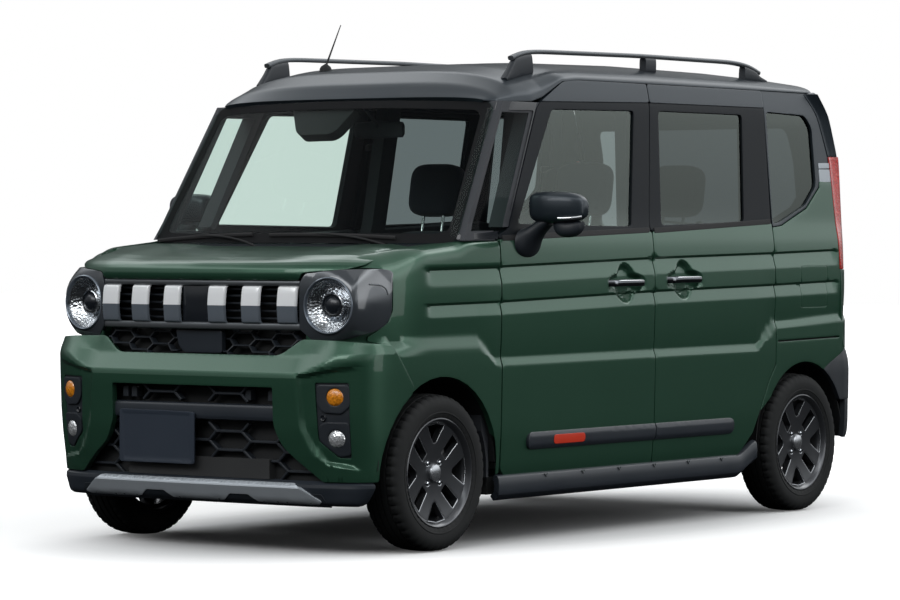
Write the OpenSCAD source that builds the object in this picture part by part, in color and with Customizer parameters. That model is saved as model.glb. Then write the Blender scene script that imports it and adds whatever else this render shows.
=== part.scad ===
// Tall kei wagon: front hinged doors, rear sliding doors, lifting bonnet and tailgate.
// X runs across the car with its left side at +X, Y runs back, Z up.
// The origin is on the ground under the middle of the box.

/* [Overall] */
// Overall length over the bumpers
body_length = 3395; // [3360:5:3430]
// Overall width over the doors
body_width = 1475; // [1450:5:1500]
// Height of the roof's crown
roof_z = 1765; // [1745:5:1785]
// Distance between the axles
wheelbase = 2460; // [2440:5:2480]
// Front bumper face to front axle
front_overhang = 500; // [490:5:515]

/* [Wheels] */
// Radius of the loaded tyre, which is the axle's height
tyre_r = 276; // [268:1:284]
// Width of the tyre
tyre_w = 155; // [145:1:160]
// Radius of the rim's flange
rim_r = 193; // [185:1:200]
// Distance between the wheels' middle planes
track = 1295; // [1280:5:1305]
// Pitch circle of the wheel nuts
nut_pcd = 100; // [98:1:114]
// Radius of a wheel nut's hole
nut_hole_r = 6.5; // [5:0.5:8]
// Number of wheel nuts
nut_count = 4; // [3:1:5]
// Radius of the hub's spindle
spindle_r = 20; // [16:1:24]
// Distance from the steering axis to the wheel's middle plane
king_offset = 55; // [45:1:65]
// Radius of the steering pivot
king_r = 14; // [12:1:16]
// Radius of the front wheel arch
front_arch_r = 340; // [332:1:345]
// Radius of the rear wheel arch
rear_arch_r = 328; // [322:1:334]

/* [Panels] */
// Depth of a side wall or door
wall_t = 70; // [62:1:78]
// Depth of the roof
roof_t = 40; // [32:1:48]
// Depth of a fender
fender_t = 28; // [22:1:32]
// Depth of the bonnet
bonnet_t = 24; // [18:1:30]
// Depth of a bumper's skin
bumper_t = 45; // [36:1:50]
// Thickness of a window pane
glass_t = 5; // [4:0.5:7]
// Depth of a pane behind the outer surface
glass_inset = 8; // [6:1:14]
// Gap around a moving panel
shut_gap = 6; // [5:0.5:8]
// Gap between pieces that are bolted or bonded together
seat_gap = 0.3; // [0.2:0.1:0.5]
// Depth of the bond behind the windscreen
bond_gap = 0.7; // [0.5:0.1:0.9]
// Running clearance of a pin in its bore
pin_clear = 0.05; // [0.03:0.01:0.08]
// Radius of a hinge pin
pin_r = 6; // [5:0.5:7]
// Radius of a hinge eye
eye_r = 12; // [11:0.5:14]

/* [Doors] */
// Front edge of the front door behind the front axle
door_front = 355; // [350:1:360]
// Length of the front door along the sill
door_length = 998; // [990:1:1006]
// Length of the rear door along the belt
rear_door_length = 884; // [876:1:890]
// Lower edge of the doors
door_z = 248; // [244:1:254]
// Underside of the sill cladding
sill_z = 173; // [168:1:180]
// Height of the belt line
belt_z = 1090; // [1080:1:1096]
// Upper edge of the door windows
window_top_z = 1575; // [1565:1:1585]
// Upper edge of the doors
gutter_z = 1676; // [1670:1:1682]

/* [Windscreen] */
// Height of the windscreen's lower edge
screen_z = 1077; // [1073:1:1082]
// Distance of its lower edge from the front bumper
screen_back = 558; // [552:1:566]
// Slope of the windscreen from level
screen_slope = 57.5; // [56.5:0.5:58.5]
// Radius of its curve
screen_r = 4200; // [4000:50:4600]

/* [Cabin] */
// Underside of the floor
floor_z = 245; // [242:1:250]
// Thickness of the floor
floor_t = 22; // [18:1:26]
// Underside of the load floor
load_z = 440; // [435:1:460]
// Radius of the steering wheel
wheel_r = 180; // [170:1:190]

/* [Hidden] */
$fn = 64;

half_w = body_width / 2;
y_front = -body_length / 2;
y_rear = body_length / 2;
front_axle_y = y_front + front_overhang;
rear_axle_y = front_axle_y + wheelbase;
wheel_x = track / 2;
king_x = wheel_x - king_offset;
far = 1200;
big = 4000;

// Side wall from sill to gutter, as [height, inset from the half width].
SECTION = [
    [sill_z, 60], [door_z, 18], [400, 6], [640, 0], [668, 8], [826, 3], [866, 12], [874, 5],
    [936, 3], [990, 12], [998, 6], [belt_z, 12], [belt_z + 60, 24], [window_top_z + 25, 66], [gutter_z + 6, 83]
];
// Roof edge from gutter to crown, as [drop below the crown, inset from the half width].
ROOF_EDGE = [[60, 102], [36, 135], [20, 190], [8, 330], [2, 500], [0, 620]];
// Roof line along the car, as [distance behind the windscreen's top, drop below the crown].
ROOF_LINE = [[0, 158], [55, 104], [150, 55], [300, 26], [600, 9], [1100, 0], [1700, 5], [2050, 17], [2240, 30]];
// Rear end from the roof down, as [distance ahead of the rear bumper's face, height].
REAR_LINE = [[268, roof_z - 26], [226, 1694], [136, 1598], [74, 1428], [56, 970], [50, 600], [50, 240]];
// Nose in plan above the bumper, as [half width, distance behind the bumper's face].
NOSE_PLAN = [[0, 8], [220, 18], [438, 47], [560, 92], [640, 148], [695, 225], [half_w - 14, 310], [half_w + 5, 420]];
// Front bumper in plan, as [half width, distance behind its face].
BUMPER_PLAN = [[0, 0], [460, 6], [565, 26], [640, 74], [690, 140], [725, 230], [half_w + 1, 320]];
// Rear bumper in plan, as [half width, distance ahead of its face].
TAIL_PLAN = [[0, 0], [450, 8], [590, 24], [660, 56], [715, 120], [half_w, 210]];

function flip(list) = [for (i = [len(list) - 1:-1:0]) list[i]];
function mirrored(list) = [for (p = list) [-p[0], p[1]]];
function wall(d) = [for (r = SECTION) [half_w - r[1] - d, r[0]]];
function roof_edge(d) = [for (r = ROOF_EDGE) [half_w - r[1] - d, roof_z - r[0] - d]];
function half_section(d) = concat([[0, sill_z]], wall(d), roof_edge(d), [[0, roof_z - d]]);
function roof_line(d) = [for (r = ROOF_LINE) [screen_top_y + r[0], roof_z - r[1] - d]];
function rear_line(d) = [for (r = REAR_LINE) [y_rear - r[0] - d, r[1] - (r[1] > 1500 ? d : 0)]];
function nose(d) = [for (r = NOSE_PLAN) [max(0, r[0] - d * (r[0] > 500 ? 1 : 0)), y_front + r[1] + d]];
function front_face(d) = [for (r = BUMPER_PLAN) [max(0, r[0] - d * (r[0] > 500 ? 1 : 0)), y_front + r[1] + d]];
function tail(d, back = 0) = [for (r = TAIL_PLAN) [max(0, r[0] - d * (r[0] > 500 ? 1 : 0)), y_rear - r[1] - d - back]];

// Door lines in the side view
door_y = front_axle_y + door_front;
b_y = door_y + door_length;
c_y = b_y + rear_door_length;
b_top_y = b_y + 58;
c_top_y = c_y + 12;
frame_foot_y = door_y + 72;
frame_head_y = door_y + 306;
gutter_y = door_y + 484;
hinge_x = half_w - 42;
hinge_y = door_y + 26;
HINGE_HEIGHTS = [470, 900];
hinge_h = 26;
lug_t = 10;
lug_gap = 3;
sweep_r = 54;
pillar_low_x = 131;

// Windscreen
screen_y = y_front + screen_back;
screen_rise = roof_z - ROOF_LINE[0][1] - screen_z;
screen_top_y = screen_y + screen_rise / tan(screen_slope);
function screen_at(z) = screen_y + (z - screen_z) / tan(screen_slope);
screen_low_x = half_w - 42;
screen_top_x = half_w - 102;

// Bonnet
bonnet_x = half_w - 88;
bonnet_rear_y = screen_y - 78;
bonnet_hinge_y = bonnet_rear_y + 26;
bonnet_hinge_z = 1022;
BONNET_HINGE_X = [-500, 500];
// Bonnet's centre line, as [distance behind the bumper's face, height]
BONNET_LINE = [[5, 952], [2, 985], [24, 1012], [95, 1032], [240, 1051], [480, 1068]];
lamp_x = 445;
lamp_top_z = 988;
lamp_low_z = 742;
lamp_z = 865;
lamp_back = 232;

// Tailgate
gate_x = 590;
gate_back = 48;
tail_z = 648;
gate_z = tail_z + 7;
gate_hinge_y = y_rear - 258;
gate_hinge_z = roof_z - 38;
GATE_HINGE_X = [-400, 400];
gate_t = 60;

// Steering wheel
wheel_pos = [-350, door_y + 330, 935];
wheel_tilt = 62;

// Floor
floor_x = half_w - 96;
sill_x = 66;
step_y = c_y - 140;

// Front lamp and grille heights
crest_z = 624;
opening_low_z = 262;
opening_top_z = 580;
opening_low_x = 520;
opening_top_x = 360;
opening_bend_z = 430;

module both() {
    children();
    mirror([1, 0, 0]) children();
}
// Prism across the car from an outline of [y, z] points
module side_prism(points, x0, x1) {
    translate([x0, 0, 0]) rotate([90, 0, 90]) linear_extrude(x1 - x0) polygon(points);
}
// Prism along the car from an outline of [x, z] points
module front_prism(points, y0, y1) {
    translate([0, y1, 0]) rotate([90, 0, 0]) linear_extrude(y1 - y0) polygon(points);
}
// Prism up from an outline of [x, y] points
module plan_prism(points, z0, z1) {
    translate([0, 0, z0]) linear_extrude(z1 - z0) polygon(points);
}
module box(low, high) {
    translate(low) cube(high - low);
}
module cross_rod(r, x0, x1, y, z) {
    translate([x0, y, z]) rotate([0, 90, 0]) cylinder(r = r, h = x1 - x0);
}
// Left side wall between two depths
module side_band(d1, d2) {
    front_prism(concat(wall(d1), flip(wall(d2))), y_front, y_rear);
}
module section_solid(d) {
    front_prism(concat(half_section(d), flip(mirrored(half_section(d)))), y_front, y_rear);
}
// Plan band between two depths of a mirrored outline, out to a half width
module plan_band(outer, inner, z0, z1) {
    plan_prism(concat(flip(mirrored(outer)), outer, flip(inner), mirrored(inner)), z0, z1);
}
module screen_drum(r) {
    translate([0, screen_y, screen_z])
        rotate([screen_slope - 90, 0, 0])
            translate([0, screen_r, 0]) cylinder(r = r, h = 2 * far, center = true, $fn = 256);
}
module front_arches() {
    both() cross_rod(front_arch_r, 400, far, front_axle_y, tyre_r);
}
module rear_arches() {
    both() cross_rod(rear_arch_r, wheel_x - 105, far, rear_axle_y, tyre_r);
}

// Side outlines
function front_door_outline(g) = [
    [door_y + 56 + g, door_z], [door_y + 34 + g, door_z + 22], [door_y + 20 + g, 400], [door_y + g, belt_z - 4],
    [door_y + g + 4, belt_z + 14], [frame_foot_y + g, belt_z + 40], [frame_head_y + g, window_top_z - 11],
    [frame_head_y + 50 + g, window_top_z + 25], [gutter_y + g, gutter_z - 10], [gutter_y + 60, gutter_z],
    [b_top_y - g, gutter_z], [b_top_y - g, window_top_z + 20], [b_y - g, belt_z + 40], [b_y - g, door_z]
];
function rear_door_outline(g) = [
    [b_y + g, door_z], [b_y + g, belt_z + 40], [b_top_y + g, window_top_z + 20], [b_top_y + g, gutter_z],
    [c_top_y - g, gutter_z], [c_top_y - g, window_top_z + 25], [c_y - g, belt_z + 30], [c_y - g, 590],
    [c_y - 55 - g, 530], [c_y - 120 - g, 412], [c_y - 165 - g, 332], [c_y - 262 - g, door_z]
];
front_window = [
    [frame_foot_y + 52, belt_z + 50], [frame_head_y + 94, window_top_z], [b_top_y - 108, window_top_z],
    [b_y - 124, belt_z + 50]
];
rear_window = [
    [b_y + 78, belt_z + 52], [b_top_y + 60, window_top_z + 6], [c_top_y - 168, window_top_z + 6], [c_y - 204, belt_z + 66]
];
quarter_window = [
    [screen_at(belt_z + 30) + 108, belt_z + 30], [screen_at(window_top_z - 25) + 84, window_top_z - 25],
    [frame_head_y - 50, window_top_z - 25], [frame_foot_y - 42, belt_z + 34]
];
tail_window = [
    [c_top_y + 40, belt_z + 70], [c_top_y + 40, window_top_z + 18], [c_top_y + 300, window_top_z + 12],
    [c_top_y + 356, window_top_z - 34], [c_top_y + 356, belt_z + 214], [c_top_y + 262, belt_z + 132],
    [c_top_y + 130, belt_z + 74]
];
roof_side = [
    [screen_at(window_top_z - 100), window_top_z + 15], [frame_head_y + 26, window_top_z + 15],
    [frame_head_y + 46, window_top_z + 25 + shut_gap], [gutter_y - 3, gutter_z - 10 + shut_gap], [gutter_y + 60, gutter_z + shut_gap], [y_rear - 268, gutter_z + shut_gap],
    [y_rear - 268, roof_z + 60], [screen_at(window_top_z - 100), roof_z + 60]
];

module floor_pan() {
    end_y = y_rear - 110;
    color("#3c3f42") difference() {
        union() {
            side_prism([
                [door_y - 10, floor_z], [step_y, floor_z], [step_y, load_z], [end_y, load_z],
                [end_y, load_z + floor_t], [step_y - floor_t, load_z + floor_t],
                [step_y - floor_t, floor_z + floor_t], [door_y - 10, floor_z + floor_t]
            ], -floor_x, floor_x);
            // box sill on each side
            both() front_prism([
                [floor_x - 45, sill_z + 6], [half_w - sill_x, sill_z + 6], [half_w - sill_x, door_z - shut_gap], [floor_x, door_z - shut_gap],
                [floor_x, floor_z + 4], [floor_x - 45, floor_z + 4]
            ], door_y - 10, c_y - 262);
        }
        rear_arches();
    }
}

module cowl() {
    y0 = door_y - 10;
    wall_y = bonnet_hinge_y + 72;
    lip_z = screen_z - 4 - seat_gap;
    color("#1d1f21") union() {
        side_prism([
            [y0, floor_z], [y0 - 22, floor_z], [y0 - 22, 800], [wall_y, 930], [wall_y, lip_z - 20], [screen_y - 16, lip_z - 20],
            [screen_y - 16, lip_z], [screen_y + 105, lip_z], [screen_y + 105, lip_z - 20], [wall_y + 22, lip_z - 20],
            [wall_y + 22, 944], [y0, 815]
        ], pillar_low_x - half_w + seat_gap, half_w - pillar_low_x - seat_gap);
        // lugs and pins that carry the bonnet
        for (x = BONNET_HINGE_X) {
            cross_rod(pin_r, x - hinge_h / 2 - lug_gap - lug_t, x + hinge_h / 2 + lug_gap + lug_t, bonnet_hinge_y, bonnet_hinge_z);
            for (s = [-1, 1]) {
                lug_x = x + s * (hinge_h / 2 + lug_gap + lug_t / 2);
                box([lug_x - lug_t / 2, bonnet_hinge_y - 9, bonnet_hinge_z - 14], [lug_x + lug_t / 2, wall_y + 4, bonnet_hinge_z + 9]);
            }
        }
    }
}

// Space that the door's leading edge turns through
module door_sweep() {
    translate([hinge_x, hinge_y, 0]) cylinder(r = sweep_r, h = belt_z + 46);
}
module a_pillars() {
    color("#151617") both() union() {
        difference() {
            union() {
                difference() {
            intersection() {
                side_band(glass_inset, wall_t);
                side_prism([
                    [screen_at(belt_z), belt_z - 2], [screen_at(window_top_z + 15), window_top_z + 15 - seat_gap],
                    [frame_head_y + 26, window_top_z + 15 - seat_gap], [frame_head_y - 4, window_top_z - 11],
                    [frame_foot_y - 4, belt_z + 40], [door_y - shut_gap + 4, belt_z + 14], [door_y - shut_gap, belt_z - 2]
                ], 0, far);
                screen_drum(screen_r - glass_t - bond_gap);
            }
            side_prism(quarter_window, 0, far);
                }
                difference() {
                    box([half_w - pillar_low_x, door_y - 70, floor_z], [half_w - 46, door_y - 10, belt_z + 10]);
                    cross_rod(front_arch_r - 25, 400, far, front_axle_y, tyre_r);
                }
            }
            door_sweep();
        }
        // door hinge lugs and pins
        for (z = HINGE_HEIGHTS) {
            translate([hinge_x, hinge_y, z]) cylinder(r = pin_r, h = hinge_h + 2 * (lug_gap + lug_t + 2), center = true);
            for (s = [-1, 1]) translate([hinge_x, hinge_y, z + s * (hinge_h / 2 + lug_gap + lug_t / 2)]) {
                rotate([0, 0, 217]) translate([3, -8, 1 - lug_t / 2]) cube([81, 16, lug_t - 2]);
                cylinder(r = 9, h = lug_t, center = true);
            }
        }
    }
}

// Post line inside the doors, from sill to crown
function post(d) = concat(wall(d), [[half_w - 104 - d, roof_z]]);
module clear_of_rear_wheels() {
    difference() {
        box([-far, y_front, 0], [far, y_rear, 2 * far]);
        rear_arches();
    }
}
module b_pillars() {
    foot_z = floor_z + floor_t;
    color("#17181a") both() intersection() {
        union() {
            side_prism([
                [b_y - 50, foot_z], [b_y - 40, belt_z], [b_top_y - 40, gutter_z], [b_top_y - 40, roof_z], [b_top_y + 50, roof_z],
                [b_top_y + 50, gutter_z], [b_y + 50, belt_z], [b_y + 60, foot_z]
            ], 0, far);
            side_prism([
                [c_top_y - 10, load_z + floor_t], [c_top_y - 10, roof_z], [c_top_y + 34, roof_z], [c_top_y + 34, load_z + floor_t]
            ], 0, far);
        }
        front_prism(concat(post(wall_t + shut_gap + 3), flip(post(wall_t + 62))), y_front, y_rear);
        roof_shape(roof_t + seat_gap);
        clear_of_rear_wheels();
    }
}

module roof_shape(d) {
    intersection() {
        section_solid(d);
        side_prism(concat(roof_line(d), [[screen_top_y + 2240, 100], [screen_top_y, 100]]), -far, far);
    }
}
module roof() {
    color("#43484b") difference() {
        intersection() {
            roof_shape(0);
            side_prism(roof_side, -far, far);
        }
        roof_shape(roof_t);
        screen_pocket();
        for (x = GATE_HINGE_X) box([x - 40, gate_hinge_y - 20, gate_hinge_z - 24], [x + 40, y_rear, roof_z]);
    }
    // lugs and pins that carry the tailgate
    color("#43484b") for (x = GATE_HINGE_X) {
        cross_rod(pin_r, x - 41, x + 41, gate_hinge_y, gate_hinge_z);
        for (s = [-1, 1]) box([x + s * 34 - 7, gate_hinge_y - 40, gate_hinge_z - 12], [x + s * 34 + 7, gate_hinge_y + 9, gate_hinge_z + 8]);
    }
}

function screen_outline(g) = [
    [-screen_low_x - g, screen_z - 4 - g], [screen_low_x + g, screen_z - 4 - g], [screen_top_x + g, window_top_z + 13 + g],
    [0, window_top_z + 29 + g], [-screen_top_x - g, window_top_z + 13 + g]
];
module screen_sheet(r1, r0, g) {
    intersection() {
        difference() {
            screen_drum(r1);
            screen_drum(r0);
        }
        front_prism(screen_outline(g), y_front, 0);
    }
}
// Rebate in the roof's front edge that the glass lies in
module screen_pocket() {
    screen_sheet(screen_r + 40, screen_r - glass_t - bond_gap, bond_gap);
}
module windscreen() {
    color("#9fb8ae", 0.5) screen_sheet(screen_r, screen_r - glass_t, 0);
}

// Pane of an outline in the left side, seated in its frame
module pane(outline, x0 = 0) {
    intersection() {
        side_band(glass_inset, glass_inset + glass_t);
        side_prism(outline, x0, far);
    }
}
module side_windows() {
    color("#51606a", 0.6) both() {
        intersection() {
            front_prism(concat(wall(glass_inset + 8), flip(wall(glass_inset + 8 + glass_t))), y_front, y_rear);
            side_prism(quarter_window, 0, far);
        }
        pane(rear_window);
        pane(tail_window);
    }
}

module nose_solid(d) {
    intersection() {
        section_solid(d);
        plan_prism(concat(flip(mirrored(nose(d))), nose(d), [[far, 0], [-far, 0]]), 0, belt_z + 10);
    }
}
module front_fenders() {
    color("#3f5a49") both() difference() {
        intersection() {
            difference() {
                nose_solid(0);
                nose_solid(fender_t);
            }
            side_prism([
                [door_y - shut_gap + 40, sill_z + 74], [door_y - shut_gap + 14, 400], [door_y - shut_gap, belt_z - 4],
                [screen_at(belt_z) - 10, belt_z - 4], [bonnet_rear_y, 1066], [y_front + lamp_back + 4.3, 1046],
                [y_front + lamp_back + 4.3, lamp_low_z], [y_front + 205, lamp_low_z], [y_front + 310, 560], [front_axle_y, 300], [door_y - 130, sill_z + 74]
            ], bonnet_x + shut_gap, far);
        }
        front_arches();
        door_sweep();
    }
    // brackets to the hinge pillars
    color("#3f5a49") both() for (z = [320, 1040])
        box([half_w - 46, door_y - 66, z - 20], [half_w - 24, door_y - 30, z + 20]);
}

module rear_solid(d) {
    intersection() {
        section_solid(d);
        side_prism(concat([[0, roof_z]], rear_line(d), [[0, 240]]), -far, far);
        plan_prism(concat(tail(d, gate_back), [[half_w - d, 0], [d - half_w, 0]], flip(mirrored(tail(d, gate_back)))), 200, roof_z + 1);
    }
}
module rear_shell() {
    difference() {
        rear_solid(0);
        rear_solid(gate_t);
    }
}
module quarter_panels() {
    color("#3f5a49") both() difference() {
        intersection() {
            rear_shell();
            side_prism([
                [c_top_y, gutter_z + shut_gap - seat_gap], [c_y, belt_z + 30], [c_y, 590], [c_y - 55, 530], [c_y - 120, 412],
                [rear_axle_y, 300], [y_rear - 214, 500], [y_rear - 214, tail_z + seat_gap], [y_rear, tail_z + seat_gap], [y_rear, gutter_z + shut_gap - seat_gap]
            ], gate_x + shut_gap, far);
        }
        rear_arches();
        side_prism(tail_window, 0, far);
        lamp_corner(0);
    }
}
// Rear corner that holds the tail lamp
module lamp_corner(g) {
    box([gate_x + shut_gap - 1 + g, y_rear - 148 + g, 970 + g], [far, y_rear + 10, 1426 - g]);
}
module tail_lamps() {
    color("#8f1d1f") both() intersection() {
        rear_shell();
        lamp_corner(seat_gap);
        box([gate_x + shut_gap, 0, 0], [far, far * 2, far * 2]);
    }
}

module rear_doors() {
    color("#3f5a49") both() union() {
        difference() {
            intersection() {
                side_band(0, wall_t);
                side_prism(rear_door_outline(shut_gap / 2), 0, far);
            }
            side_prism(rear_window, 0, far);
        }
        // pull bar
        box([half_w - 20, b_y + 90, 918], [half_w + 4, b_y + 300, 944]);
    }
    // roller arms that run in the rails
    color("#3f5a49") both() {
        box([half_w - 60, c_y - 60, 655], [half_w - 30, c_y - seat_gap, 680]);
        box([half_w - 130, b_y + 90, floor_z + floor_t + seat_gap], [half_w - 60, b_y + 130, floor_z + floor_t + 30]);
    }
}

module door_shell() {
    difference() {
        intersection() {
            side_band(0, wall_t);
            side_prism(front_door_outline(shut_gap / 2), 0, far);
        }
        side_prism(front_window, 0, far);
        // hinge pockets at the leading edge
        for (z = HINGE_HEIGHTS)
            box([half_w - wall_t - 20, door_y - 20, z - 34], [half_w - 18, door_y + 62, z + 34]);
    }
}
module front_door() {
    difference() {
        union() {
            door_shell();
            for (z = HINGE_HEIGHTS) {
                translate([hinge_x, hinge_y, z - hinge_h / 2]) cylinder(r = eye_r, h = hinge_h);
                box([hinge_x - 9, hinge_y, z - hinge_h / 2], [hinge_x + 9, door_y + 66, z + hinge_h / 2]);
            }
            box([half_w - 20, b_y - 318, 912], [half_w + 4, b_y - 92, 938]);
            // rubbing strip
            box([half_w - 12, door_y + 160, 337], [half_w + 3, b_y - 12, 394]);
        }
        for (z = HINGE_HEIGHTS) translate([hinge_x, hinge_y, z - hinge_h]) cylinder(r = pin_r + pin_clear, h = 2 * hinge_h);
    }
}
module front_door_left() {
    color("#3f5a49") front_door();
}
module front_door_right() {
    color("#3f5a49") mirror([1, 0, 0]) front_door();
}
module door_window_left() {
    color("#8fa79d", 0.5) pane(front_window);
}
module door_window_right() {
    color("#8fa79d", 0.5) mirror([1, 0, 0]) pane(front_window);
}

module mirror_case() {
    foot_y = door_y + 168;
    union() {
        intersection() {
            side_band(-22, -seat_gap);
            side_prism([
                [foot_y - 82, belt_z + 30], [foot_y - 40, belt_z - 50], [foot_y, belt_z - 64], [foot_y + 40, belt_z - 50], [foot_y + 82, belt_z + 40],
                [foot_y + 60, belt_z + 46], [foot_y - 60, belt_z + 46]
            ], 0, far);
        }
        box([half_w, foot_y - 34, belt_z + 10], [half_w + 60, foot_y + 30, belt_z + 46]);
        translate([half_w + 10, foot_y - 46, belt_z + 10]) mirror_body();
    }
}
module mirror_body() {
    w = 215;
    h = 164;
    plan = [[0, 30], [20, 8], [70, 0], [150, 12], [198, 44], [w, 88], [w - 4, 96], [0, 96]];
    face = [[6, 34], [60, 0], [w - 30, 0], [w, 44], [w, h - 30], [w - 24, h], [30, h], [0, h - 30], [0, 50]];
    intersection() {
        linear_extrude(h) polygon(plan);
        front_prism(face, -20, 120);
    }
}
module mirror_left() {
    color("#3a3e42") mirror_case();
}
module mirror_right() {
    color("#3a3e42") mirror([1, 0, 0]) mirror_case();
}

module bonnet() {
    line = [for (r = BONNET_LINE) [y_front + r[0], r[1]]];
    under = [for (r = BONNET_LINE) [y_front + r[0] + (r[1] < 1000 ? bonnet_t : 6), r[1] - (r[1] < 1000 ? 0 : bonnet_t)]];
    color("#3f5a49") difference() {
        union() {
            difference() {
                intersection() {
                    side_prism(concat(line, [[bonnet_rear_y, BONNET_LINE[5][1]], [bonnet_rear_y, BONNET_LINE[5][1] - bonnet_t]], flip(under)),
                        -bonnet_x, bonnet_x);
                    plan_prism(concat(flip(mirrored(nose(4))), nose(4), [[far, 0], [-far, 0]]), 900, belt_z + 10);
                }
                both() box([lamp_x - 3, y_front - 10, 900], [far, y_front + lamp_back + 30, lamp_top_z + shut_gap]);
            }
            for (x = BONNET_HINGE_X) {
                cross_rod(eye_r, x - hinge_h / 2, x + hinge_h / 2, bonnet_hinge_y, bonnet_hinge_z);
                side_prism([
                    [bonnet_hinge_y - 8, bonnet_hinge_z - 8], [bonnet_hinge_y + 8, bonnet_hinge_z - 8],
                    [bonnet_hinge_y + 8, bonnet_hinge_z + 8], [bonnet_rear_y - 4, BONNET_LINE[5][1] - 6],
                    [bonnet_rear_y - 40, BONNET_LINE[5][1] - 10]
                ], x - hinge_h / 2, x + hinge_h / 2);
            }
        }
        for (x = BONNET_HINGE_X) cross_rod(pin_r + pin_clear, x - hinge_h, x + hinge_h, bonnet_hinge_y, bonnet_hinge_z);
    }
}

module front_bumper() {
    color("#3f5a49") difference() {
        intersection() {
            plan_band(front_face(0), front_face(bumper_t), opening_low_z, lamp_low_z);
            side_prism([
                [y_front + 22, opening_low_z], [y_front + 6, 420], [y_front, crest_z - 40], [y_front, crest_z], [y_front + 34, 690],
                [y_front + 62, lamp_low_z], [y_front + 205, lamp_low_z], [y_front + 310, 560], [front_axle_y, 300], [front_axle_y, opening_low_z]
            ], -far, far);
            section_solid(0);
        }
        front_arches();
        lower_opening(0);
        // upper opening under the grille
        front_prism([[-450, 784], [-370, 688], [370, 688], [450, 784]], y_front - 20, y_front + 120);
        both() pod_space(0);
    }
}
module lower_opening(g) {
    front_prism([
        [-opening_low_x + g, opening_low_z - 1], [-opening_top_x + g, opening_bend_z], [-opening_top_x + g, opening_top_z - g],
        [opening_top_x - g, opening_top_z - g], [opening_top_x - g, opening_bend_z], [opening_low_x - g, opening_low_z - 1]
    ], y_front - 20, y_front + 120);
}
module pod_space(g) {
    front_prism([[518 + g, 602 - g], [655 - g, 596 - g], [655 - g, 350 + g], [610, 340 + g], [560 + g, 420], [518 + g, 560]],
        y_front - 20, y_front + 240);
}
module lamp_pods() {
    color("#17191b") both() difference() {
        intersection() {
            plan_band(front_face(8), front_face(bumper_t - 2), 330, 610);
            pod_space(seat_gap);
        }
        translate([601, y_front, 553]) rotate([-90, 0, 20]) cylinder(r = 30, h = 60, center = true);
        translate([603, y_front + 8, 408]) rotate([-90, 0, 20]) cylinder(r = 32, h = 60, center = true);
    }
}
function skid_outline(g) = [[-540 + 2 * g, 180], [-440 + 2 * g, 252 - g], [440 - 2 * g, 252 - g], [540 - 2 * g, 180]];
module front_lip() {
    color("#3c4146") difference() {
        intersection() {
            plan_band(front_face(0), front_face(bumper_t), 182, opening_low_z - seat_gap);
            side_prism([[y_front + 30, 182], [y_front + 4, 215], [y_front + 2, opening_low_z], [front_axle_y, opening_low_z], [front_axle_y, 182]], -far, far);
            section_solid(0);
        }
        front_arches();
        front_prism(skid_outline(0), y_front - 20, y_front + 100);
    }
}
module skid_plate() {
    color("#9aa1a4") intersection() {
        plan_band(front_face(2), front_face(bumper_t - 4), 184, opening_low_z);
        front_prism(skid_outline(seat_gap), y_front - 20, y_front + 60);
        side_prism([[y_front + 34, 184], [y_front + 4, 216], [y_front + 4, 252], [y_front + 60, 252], [y_front + 60, 184]], -far, far);
    }
}

// Strip across the nose between two depths
module nose_strip(d0, d1, z0, z1, half) {
    intersection() {
        plan_band(nose(d0), nose(d1), z0, z1);
        box([-half, y_front - 5, z0], [half, y_front + 200, z1]);
    }
}
module grille_frame() {
    slat_heights = [828, 856, 884, 910];
    color("#24272a") union() {
        nose_strip(36, 44, 688 + seat_gap, 945, lamp_x - 6);
        nose_strip(0, 40, 924, 945, lamp_x - 6);
        nose_strip(0, 40, 780, 804, lamp_x - 6);
        for (z = slat_heights) nose_strip(20, 40, z - 5, z + 5, lamp_x - 6);
        for (z = [692, 736]) nose_strip(20, 40, z, z + 8, 368);
    }
}
module grille_blocks() {
    // block's inner and outer edge across the car
    BLOCKS = [[66, 142], [212, 292], [358, 436]];
    color("#d9dcde") both() for (b = BLOCKS) intersection() {
        plan_band(nose(1), nose(36 - seat_gap), 806, 922);
        box([b[0], y_front - 5, 806], [b[1], y_front + 200, 922]);
        difference() {
            box([0, y_front - 5, 800], [far, y_front + 200, 930]);
            for (z = [828, 856, 884, 910]) nose_strip(19.7, 60, z - 5.3, z + 5.3, far);
        }
    }
}
module lower_grille() {
    cell = 58;
    pitch_x = 92;
    pitch_z = 54;
    color("#1c1e20") union() {
        difference() {
            intersection() {
                plan_band(front_face(26), front_face(40), opening_low_z + seat_gap, opening_top_z);
                lower_opening(seat_gap);
            }
            for (row = [0:5], col = [-5:5])
                translate([(col + (row % 2) / 2) * pitch_x, y_front, 290 + row * pitch_z])
                    rotate([-90, 0, 0]) scale(1) cylinder(r = cell / 2, h = 200, center = true, $fn = 6);
        }
        // cross bar with the plate's seat
        intersection() {
            plan_band(front_face(10), front_face(34), 462, 520);
            lower_opening(seat_gap);
        }
    }
}
module front_plate() {
    color("#2b3038") difference() {
        box([-322, y_front + 2, 312], [8, y_front + 9.7, 477]);
        for (x = [-262, -52]) translate([x, y_front, 455]) rotate([-90, 0, 0]) cylinder(r = 3.5, h = 40, center = true);
    }
}

module headlamps() {
    aim = 14;
    color("#23272b") both() difference() {
        intersection() {
            nose_solid(2);
            box([lamp_x, y_front - 5, lamp_low_z + seat_gap], [far, y_front + lamp_back + 4, lamp_top_z]);
            // back of the lamp box
            difference() {
                box([0, y_front - 5, 700], [far, y_front + lamp_back + 4, 1000]);
                nose_solid(130);
            }
        }
        translate([556, y_front + 40, lamp_z]) rotate([-90, 0, aim]) cylinder(r = 78, h = 130);
    }
    // projector
    color("#d9dcde") both() translate([556, y_front + 40, lamp_z]) rotate([-90, 0, aim])
        translate([0, 0, 60]) cylinder(r = 34, h = 70);
}

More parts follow.
